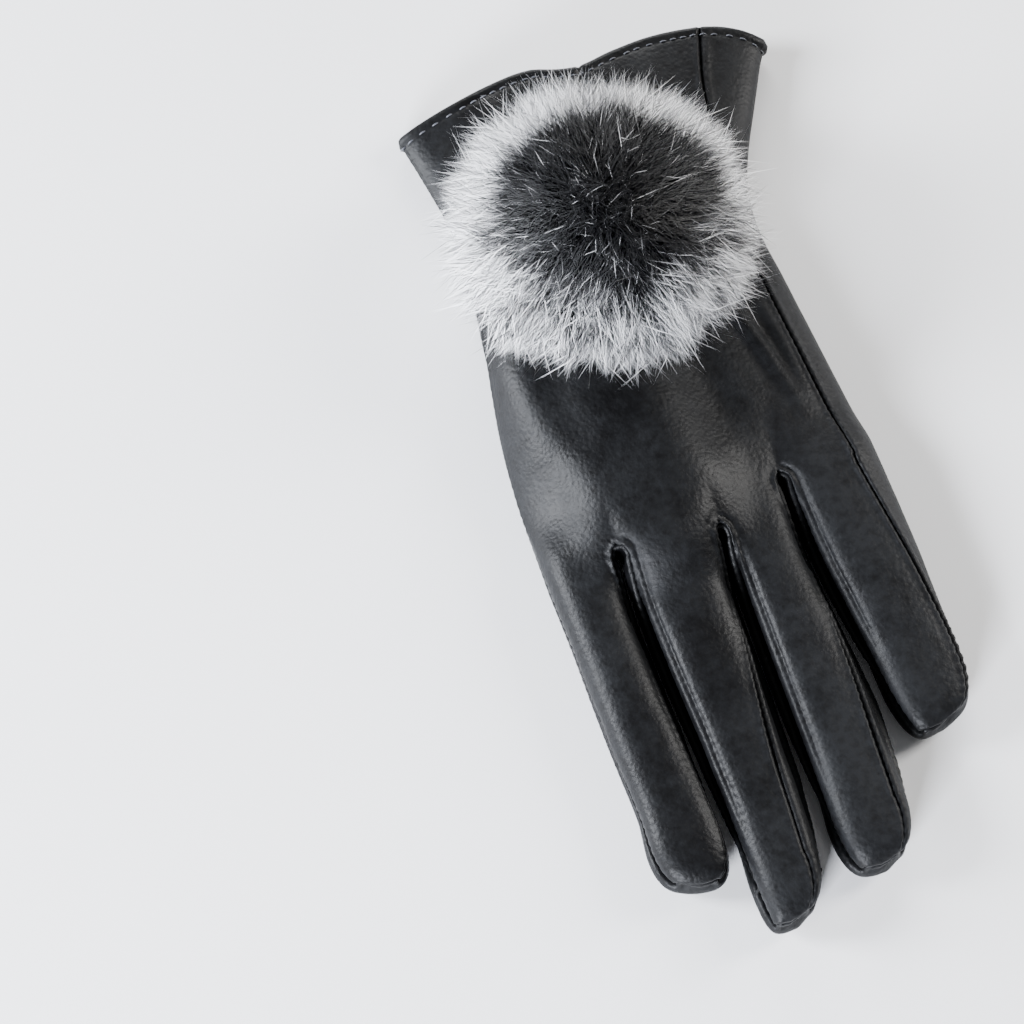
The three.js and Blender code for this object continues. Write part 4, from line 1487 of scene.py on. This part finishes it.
@dataclass
class Thumb:
    """The thumb's pouch, folded flat under the palm, in mm."""

    form: HandForm
    stations: int = 72
    sides: int = 64
    wall: float = 1.4
    squareness: float = 0.7  # below 1 its section is boxier than an ellipse
    groove_depth: float = 0.55  # of the seam that runs round its sides
    edge_height: float = 0.18  # and of the raised edges beside that seam
    gather_pitch: float = 2.4
    gather_height: float = 0.12

    def build(self) -> bpy.types.Object:
        """Makes the pouch as a closed shell.

        Returns:
            The new object.
        """
        heel = np.array(self.form.thumb_heel)
        axis = np.array(self.form.thumb_tip) - heel
        length = float(np.hypot(*axis))
        direction = axis / length
        aside = np.array([-direction[1], direction[0]])
        middle = self.form.thumb_height / 2
        turn = np.linspace(0, math.pi, self.stations + 1)[1:-1]
        along = ((1 - np.cos(turn)) / 2)[:, None]
        swell = arch(2 * along - 1, 4)
        angle = np.linspace(0, 2 * math.pi, self.sides, endpoint=False)[None, :]
        flat_cos = np.sign(np.cos(angle)) * np.abs(np.cos(angle)) ** self.squareness
        flat_sin = np.sign(np.sin(angle)) * np.abs(np.sin(angle)) ** self.squareness
        half = lerp(*self.form.thumb_half_widths, along)
        gap = half * np.minimum(np.abs(np.sin(angle)), 1.0) * 0.6
        groove = self.groove_depth * hump(gap, 0, 0.7) - self.edge_height * hump(gap, 1.7, 0.8)
        phase = along * length / self.gather_pitch * 2 * math.pi
        gathers = self.gather_height * np.cos(phase) * hump(gap, 0, 1.6)
        across = (half * swell - groove - gathers) * flat_cos
        plan = heel[None, None, :] + direction * (along * length)[..., None] + aside * across[..., None]
        z = middle + (middle * swell**0.7) * flat_sin * (1 - 0.03 * np.sin(along * 26 + angle * 3))
        body = np.concatenate([plan, np.broadcast_to(z, across.shape)[..., None]], axis=2).reshape(-1, 3)
        ends = np.array([[*heel, middle], [*(heel + axis), middle]])
        points = np.concatenate([body, ends])
        points[:, 2] = np.maximum(points[:, 2], ABOVE_FLOOR)
        first_ring = np.arange(self.sides)
        last_ring = first_ring + len(body) - self.sides
        start = fan_faces(len(body), first_ring)
        stop = fan_faces(len(body) + 1, last_ring)[:, [0, 2, 1]]
        outer = np.concatenate([tube_faces(self.stations - 1, self.sides), start, stop])
        normals = SkinMesh(points, outer, np.zeros(len(outer), dtype=int)).normals()
        inner = points - normals * self.wall
        triangles = np.concatenate([outer, outer[:, ::-1] + len(points)])
        return make_mesh("thumb_leather", np.concatenate([points, inner]), triangles)


@dataclass
class HemStitching:
    """The row of lockstitches that holds the turned hem, in mm."""

    leather: Leather
    pitch: float = 2.7
    length: float = 2.0
    thickness: float = 0.44
    lift: float = 0.24  # how far the thread's middle stands off the leather
    dip: float = 0.42  # and how much lower its ends are
    rings: int = 7
    sides: int = 6
    reach: float = 3.2  # how much of the line is looked at to find the way that a stitch runs

    def build(self) -> bpy.types.Object:
        """Lays one stitch after another along the hem.

        Returns:
            The new object with all stitches.
        """
        skin = self.leather.skin
        edges = skin.edges()[0]
        hem = self.leather.hem_distance
        level = self.leather.stitch_line
        low, high = hem[edges[:, 0]], hem[edges[:, 1]]
        crossing = ((low - level) * (high - level) < 0) & (np.maximum(low, high) < 6)
        a, b = edges[crossing, 0], edges[crossing, 1]
        t = ((level - hem[a]) / (hem[b] - hem[a]))[:, None]
        places = lerp(self.leather.outer_points[a], self.leather.outer_points[b], t)
        normals = lerp(self.leather.outer_normals[a], self.leather.outer_normals[b], t)
        tree = kdtree.KDTree(len(places))
        for k, place in enumerate(places):
            tree.insert(place, k)
        tree.balance()
        upward = normals[:, 2] > 0
        points: list[np.ndarray] = []
        triangles: list[np.ndarray] = []
        for side in (True, False):
            mine = np.flatnonzero(upward == side)
            order = mine[np.argsort(places[mine, 0])]
            laid = -1e9
            run = 0.0
            for before, here in zip(order[:-1], order[1:]):
                step = float(np.linalg.norm(places[here] - places[before]))
                run += step if step < 3 else 0.0
                if run - laid < self.pitch:
                    continue
                laid = run
                near = [k for _, k, _ in tree.find_range(places[here], self.reach) if upward[k] == side]
                if len(near) < 4:
                    continue
                spread = places[near] - places[near].mean(axis=0)
                direction = np.linalg.svd(spread, full_matrices=False)[2][0]
                shape, faces = self.stitch(places[here], direction, normals[here])
                shape[:, 2] = np.maximum(shape[:, 2], ABOVE_FLOOR)
                triangles.append(faces + sum(map(len, points)))
                points.append(shape)
        return make_mesh("hem_stitching", np.concatenate(points), np.concatenate(triangles))

    def stitch(
        self, place: np.ndarray, direction: np.ndarray, normal: np.ndarray
    ) -> tuple[np.ndarray, np.ndarray]:
        """One stitch: a short thread that dips into the leather at both ends.

        Args:
            place: its middle.
            direction: the way it runs.
            normal: away from the leather.

        Returns:
            Its points and its triangles.
        """
        direction = direction / np.linalg.norm(direction)
        normal = normal - direction * normal.dot(direction)
        normal = normal / np.linalg.norm(normal)
        side = np.cross(direction, normal)
        turn = np.linspace(0, 2 * math.pi, self.sides, endpoint=False)[:, None]
        rings = []
        for share in np.linspace(-1, 1, self.rings):
            girth = self.thickness / 2 * (1 - 0.5 * abs(share) ** 3)
            lift = self.lift - self.dip * share**2
            centre = place + direction * share * self.length / 2 + normal * lift
            rings.append(centre + side * np.cos(turn) * girth + normal * np.sin(turn) * girth)
        points = np.concatenate([*rings, [rings[0].mean(axis=0)], [rings[-1].mean(axis=0)]])
        first_end = self.rings * self.sides
        last_ring = first_end - self.sides
        faces = []
        for k in range(self.rings - 1):
            for j in range(self.sides):
                a, b = k * self.sides + j, k * self.sides + (j + 1) % self.sides
                faces += [[a, a + self.sides, b], [b, a + self.sides, b + self.sides]]
        for j in range(self.sides):
            after = (j + 1) % self.sides
            faces += [[first_end, j, after], [first_end + 1, last_ring + after, last_ring + j]]
        return points, np.array(faces)


@dataclass
class FurPompom:
    """The round pompom: black in the middle, with a wide frosted rim, in mm."""

    form: HandForm
    centre: tuple[float, float, float] = (-10.3, 62.2, 17.0)
    radius: float = 41.0
    height: float = 32.5
    core: float = 0.5  # share of the radius that is too dense to part
    clumps: int = 820
    strands: int = 114000
    pieces: int = 3
    root_width: float = 0.22
    lean: float = 0.5  # below 1 the hairs rise nearer the middle and lie outwards
    lowest: float = -0.14  # sine of the lowest tufts' direction
    loose_share: float = 0.22  # how many hairs leave their tuft
    stray_share: float = 0.09  # and how many reach further than the rest
    droop: float = 0.8  # how far level hairs sink at their tips
    over_leather: float = 0.6  # how far the lowest hairs stay above the leather
    beside_hand: float = 9.0  # lowest level of the fur beside the hand
    frost_uneven: float = 1.6  # spread of the radius at which single hairs turn pale
    frost_radius: float = 29.5  # the hairs are pale beyond this distance from the pompom's axis
    seed: int = 8

    def build_core(self) -> bpy.types.Object:
        """Makes the dense black heart of the fur.

        Returns:
            The new object.
        """
        rings, sides = 28, 72
        tilt = np.linspace(-0.12, 1, rings)[:, None] * math.pi / 2
        turn = np.linspace(0, 2 * math.pi, sides, endpoint=False)[None, :]
        direction = np.stack(
            [np.cos(tilt) * np.cos(turn), np.cos(tilt) * np.sin(turn), np.sin(tilt) * np.ones_like(turn)], -1
        ).reshape(-1, 3)
        size = np.array([self.radius, self.radius, self.height]) * self.core
        rough = 1 + 0.07 * value_noise(direction * 10, 1.6, 21)[:, None]
        points = np.array(self.centre) + direction * size * rough
        floor = self.back_height(points[:, 0], points[:, 1])
        points[:, 2] = np.maximum(points[:, 2], floor + 0.3)
        under = fan_faces(len(points), np.arange(sides))
        points = np.concatenate([points, [points[:sides].mean(axis=0)]])
        piece = make_mesh("fur_core", points, np.concatenate([tube_faces(rings, sides), under])[:, ::-1])
        self.paint(piece, np.zeros(len(points)), np.zeros(len(points)))
        return piece

    def back_height(self, x: np.ndarray, y: np.ndarray) -> np.ndarray:
        """Height of the glove's back under the fur.

        Args:
            x: places across the hand.
            y: places along the hand.

        Returns:
            The height of the leather in mm, or of the air beside it.
        """
        form = self.form
        left = smooth_curve(form.hand_y, form.index_side, y)
        right = smooth_curve(form.hand_y, form.little_side, y)
        c = 2 * (x - left) / (right - left) - 1
        back = smooth_curve(form.back_y, form.back_top, y)
        rise = form.side_level + (back - form.side_level) * arch(np.clip(c, -1, 1), form.back_roundness)
        height = rise + form.lift_on_back * form.thumb_lift(x, y)
        return np.where(np.abs(c) > 1, self.beside_hand, height)

    def paint(self, piece: bpy.types.Object, u: np.ndarray, v: np.ndarray) -> None:
        """Writes the UV map that the fur's colours are read from.

        Args:
            piece: the object.
            u: for each vertex, how far along its hair it is.
            v: for each vertex, how much of its hair is frosted.
        """
        layer = piece.data.uv_layers.new(name="OFBake")
        loops = np.zeros(len(piece.data.loops), dtype=np.int32)
        piece.data.loops.foreach_get("vertex_index", loops)
        values = np.stack([u[loops], v[loops]], axis=1).astype(np.float32)
        layer.data.foreach_set("uv", values.ravel())

    def directions(self, count: int, rng: np.random.Generator, lowest: float) -> np.ndarray:
        """Evenly spread directions from straight up to a little below level.

        Args:
            count: how many.
            rng: the random source.
            lowest: sine of the lowest direction.

        Returns:
            Unit vectors.
        """
        z = np.linspace(1, lowest, count) + rng.uniform(-1, 1, count) / count
        z = np.clip(z, lowest, 1)
        turn = np.arange(count) * GOLDEN_ANGLE + rng.uniform(-0.4, 0.4, count)
        flat = np.sqrt(1 - z * z)
        return np.stack([flat * np.cos(turn), flat * np.sin(turn), z], axis=1)

    def build_hair(self) -> list[bpy.types.Object]:
        """Grows the hair: clumps of fine tapering strands that lean out from the middle.

        Returns:
            One object for each share of the strands.
        """
        rng = np.random.default_rng(self.seed)
        clump = self.directions(self.clumps, rng, self.lowest)
        clump_bend = rng.normal(0, 0.19, (self.clumps, 3))
        clump_length = rng.uniform(0.82, 1.06, self.clumps)
        clump_frost = rng.normal(0, 1, self.clumps)
        owner = rng.integers(0, self.clumps, self.strands)
        own = clump[owner]
        root_dir = own * np.array([self.lean, self.lean, 1.0]) + rng.normal(0, 0.13, own.shape)
        root_dir[:, 2] = np.maximum(root_dir[:, 2], 0) + 0.12
        root_dir /= np.linalg.norm(root_dir, axis=1, keepdims=True)
        loose = np.where(rng.random(self.strands) < self.loose_share, 0.13, 0.035)[:, None]
        tip_dir = own + clump_bend[owner] + rng.normal(0, 1, own.shape) * loose
        tip_dir /= np.linalg.norm(tip_dir, axis=1, keepdims=True)
        reach = clump_length[owner] * (1.02 - np.abs(rng.normal(0, 0.085, self.strands)))
        reach *= 0.84 + 0.16 * smoothstep(1 - own[:, 2], 0.0, 0.22)
        stray = rng.random(self.strands) < self.stray_share
        reach += np.where(stray, rng.uniform(0.02, 0.14, self.strands), 0)
        start = rng.uniform(0.34, 0.5, self.strands)
        size = np.array([self.radius, self.radius, self.height])
        middle = np.array(self.centre)
        shares = np.array([0, 0.38, 0.72, 1.0])
        swirl = rng.normal(0, 0.07, own.shape)
        points = []
        for share in shares:
            direction = lerp(root_dir, tip_dir, share**0.8) + swirl * math.sin(share * math.pi)
            direction /= np.linalg.norm(direction, axis=1, keepdims=True)
            along = lerp(start, reach, share)[:, None]
            place = middle + direction * along * size
            place[:, 2] -= self.droop * share**2 * (1 - np.clip(direction[:, 2], 0, 1))
            floor = self.back_height(place[:, 0], place[:, 1]) + self.over_leather
            place[:, 2] = np.maximum(place[:, 2], floor + rng.uniform(0, 1.2, self.strands))
            points.append(place)
        tangent = points[-1] - points[0]
        tangent /= np.linalg.norm(tangent, axis=1, keepdims=True)
        side = np.cross(tangent, rng.normal(0, 1, own.shape))
        side /= np.linalg.norm(side, axis=1, keepdims=True)
        width = self.root_width * rng.uniform(0.75, 1.25, self.strands)[:, None]
        frost = self.frost(points, shares, clump_frost[owner], rng)
        ribbon = []
        for place, share, taper in zip(points[:3], shares[:3], (0.8, 1.0, 0.72)):
            ribbon += [place - side * width * taper / 2, place + side * width * taper / 2]
        ribbon.append(points[3])
        return self.ribbons(ribbon, frost, shares, middle)

    def frost(
        self, points: list[np.ndarray], shares: np.ndarray, tuft: np.ndarray, rng: np.random.Generator
    ) -> np.ndarray:
        """How much of each hair is frosted.

        Args:
            points: the hairs' points, from root to tip.
            shares: how far along the hair each is.
            tuft: a random number that the hairs of one tuft share.
            rng: the random source.

        Returns:
            The frosted share of each hair, counted from its tip.
        """
        radii = []
        for place in points:
            dx, dy = place[:, 0] - self.centre[0], place[:, 1] - self.centre[1]
            radii.append(np.hypot(dx, np.where(dy > 0, 1.34, 1.0) * dy))
        patchy = value_noise(points[3] - np.array(self.centre), 7.0, 31)
        near = smoothstep(self.centre[1] - points[3][:, 1], 4, 26)
        spread = rng.normal(0, self.frost_uneven, len(points[0])) * (1 + 0.8 * near)
        limit = self.frost_radius + spread + 2.4 * patchy
        limit += tuft * (1.2 + 3.6 * near) + 1.8 * near
        start = np.full(len(points[0]), 1.2)
        for k in range(3):
            inner, outer = radii[k], radii[k + 1]
            crossing = (inner <= limit) & (outer > limit)
            t = (limit - inner) / np.maximum(outer - inner, 1e-6)
            start = np.where(crossing & (start > 1.1), shares[k] + (shares[k + 1] - shares[k]) * t, start)
        start = np.where(radii[0] > limit, 0.1, start)
        pale = rng.random(len(start)) < 0.06
        start = np.where((start > 0.9) & pale, rng.uniform(0.66, 0.98, len(start)), start)
        return np.clip(1 - start, -0.2, 0.95)

    def ribbons(
        self, ribbon: list[np.ndarray], frost: np.ndarray, shares: np.ndarray, middle: np.ndarray
    ) -> list[bpy.types.Object]:
        """Makes the objects from the hairs' points.

        Args:
            ribbon: seven points of each hair: three pairs and the tip.
            frost: the frosted share of each hair.
            shares: how far along the hair each pair and the tip lie.
            middle: the pompom's middle.

        Returns:
            The new objects.
        """
        cloud = np.stack(ribbon, axis=1)
        pattern = np.array([[0, 1, 3], [0, 3, 2], [2, 3, 5], [2, 5, 4], [4, 5, 6]])
        u_values = np.array([shares[0], shares[0], shares[1], shares[1], shares[2], shares[2], shares[3]])
        v_shift = np.array([-1, 1, -1, 1, -1, 1, 0]) * 0.004
        made = []
        for number, mine in enumerate(np.array_split(np.arange(len(cloud)), self.pieces)):
            points = cloud[mine].reshape(-1, 3)
            faces = (pattern[None] + (np.arange(len(mine)) * 7)[:, None, None]).reshape(-1, 3)
            piece = make_mesh(f"fur_hair_{number + 1}", points, faces)
            u = np.tile(u_values * 0.98 + 0.01, len(mine))
            v = (np.clip(frost[mine], 0.0, 0.95)[:, None] + 0.02 + v_shift[None]).ravel()
            self.paint(piece, u, v)
            out = points - (middle - np.array([0, 0, 12.0]))
            out /= np.linalg.norm(out, axis=1, keepdims=True)
            piece.data.normals_split_custom_set_from_vertices(out.astype(np.float32).tolist())
            made.append(piece)
        return made


@dataclass
class Studio:
    """Camera, soft lights and a pale floor."""

    camera_mm: tuple[float, float, float] = (-114.57, -214.34, 558.36)
    tilt: float = 22.0
    heading: float = -16.3
    lens: float = 85.0
    floor_side: float = 4.0

    def camera(self) -> None:
        """Makes the camera at the photograph's angle."""
        data = bpy.data.cameras.new("camera")
        data.lens = self.lens
        data.sensor_width = 36.0
        data.dof.use_dof = False
        eye = bpy.data.objects.new("camera", data)
        eye.location = Vector(self.camera_mm) * MM
        eye.rotation_euler = (math.radians(self.tilt), 0, math.radians(self.heading))
        bpy.context.scene.collection.objects.link(eye)
        bpy.context.scene.camera = eye

    def softbox(self, name: str, place: tuple, aim: tuple, size: tuple, power: float, colour: str) -> None:
        """Hangs one soft light.

        Args:
            name: what to call it.
            place: where it hangs, in metres.
            aim: what it points at, in metres.
            size: its width and height, in metres.
            power: its power in watts.
            colour: its colour as sRGB hex.
        """
        data = bpy.data.lights.new(name, "AREA")
        data.shape = "RECTANGLE"
        data.size, data.size_y = size
        data.energy = power
        data.color = linear(colour)[:3]
        lamp = bpy.data.objects.new(name, data)
        lamp.location = place
        lamp.rotation_euler = (Vector(aim) - Vector(place)).to_track_quat("-Z", "Y").to_euler()
        bpy.context.scene.collection.objects.link(lamp)

    def floor(self) -> None:
        """Lays the pale floor."""
        half = self.floor_side / 2 / MM
        corners = [(-half, -half, 0), (half, -half, 0), (half, half, 0), (-half, half, 0)]
        piece = make_mesh("floor", np.array(corners, dtype=float), np.array([[0, 1, 2], [0, 2, 3]]))
        piece.data.materials.append(PlainFinish("painted_board", "#f4f4f5", 0.8).make())

    def build(self) -> None:
        """Sets camera, floor, lights and the room's even light."""
        self.camera()
        self.floor()
        self.softbox("key", (-0.9, 0.28, 0.38), (-0.01, 0.0, 0.02), (0.3, 0.5), 37.0, "#f4f8ff")
        self.softbox("front", (-0.62, -0.72, 0.36), (0.0, 0.0, 0.02), (0.35, 0.25), 34.0, "#f2f6ff")
        self.softbox("fill", (0.85, 0.1, 0.5), (0.0, 0.0, 0.02), (0.3, 0.5), 14.0, "#fffdfa")
        self.softbox("back", (0.25, 1.15, 0.45), (0.0, 0.0, 0.0), (0.6, 0.3), 13.0, "#ffffff")
        world = bpy.data.worlds.new("room")
        world.use_nodes = True
        world.node_tree.nodes["Background"].inputs["Color"].default_value = linear("#eceef2")
        world.node_tree.nodes["Background"].inputs["Strength"].default_value = 0.2
        bpy.context.scene.world = world


def dress(piece: bpy.types.Object, nodes: list[str], finishes: list[bpy.types.Material]) -> None:
    """Gives a piece its finish and its place in the frame.

    Args:
        piece: the new piece.
        nodes: the CAD nodes that it stands for.
        finishes: its materials in slot order.
    """
    for finish in finishes:
        piece.data.materials.append(finish)
    if nodes:
        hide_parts(*nodes)
    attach(piece, "root")
    log.info("%s: %d triangles", piece.name, len(piece.data.polygons))


def main() -> None:
    """Builds the glove's leather, thumb, stitches and fur, then the studio."""
    logging.basicConfig(level=logging.INFO, format="%(name)s %(message)s")
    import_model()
    leather = Leather()
    leather_finish = PolyurethaneLeather().make()
    backing = KnittedBacking().make()
    for panel, points, triangles, cloth in leather.finish_panels(leather.build_skin()):
        piece = make_mesh(panel.value + "_leather", points, triangles, cloth)
        dress(piece, [panel.value], [leather_finish, backing])
    dress(Thumb(leather.form).build(), ["thumb"], [leather_finish])
    thread = PlainFinish("polyester_thread", "#4b4d54", 0.4).make()
    dress(HemStitching(leather).build(), [], [thread])
    pompom = FurPompom(leather.form)
    fur = FrostedFur().make()
    dress(pompom.build_core(), ["fur_pompom"], [fur])
    for piece in pompom.build_hair():
        dress(piece, ["fur_pompom"], [fur])
    Studio().build()


if __name__ == "__main__":
    main()
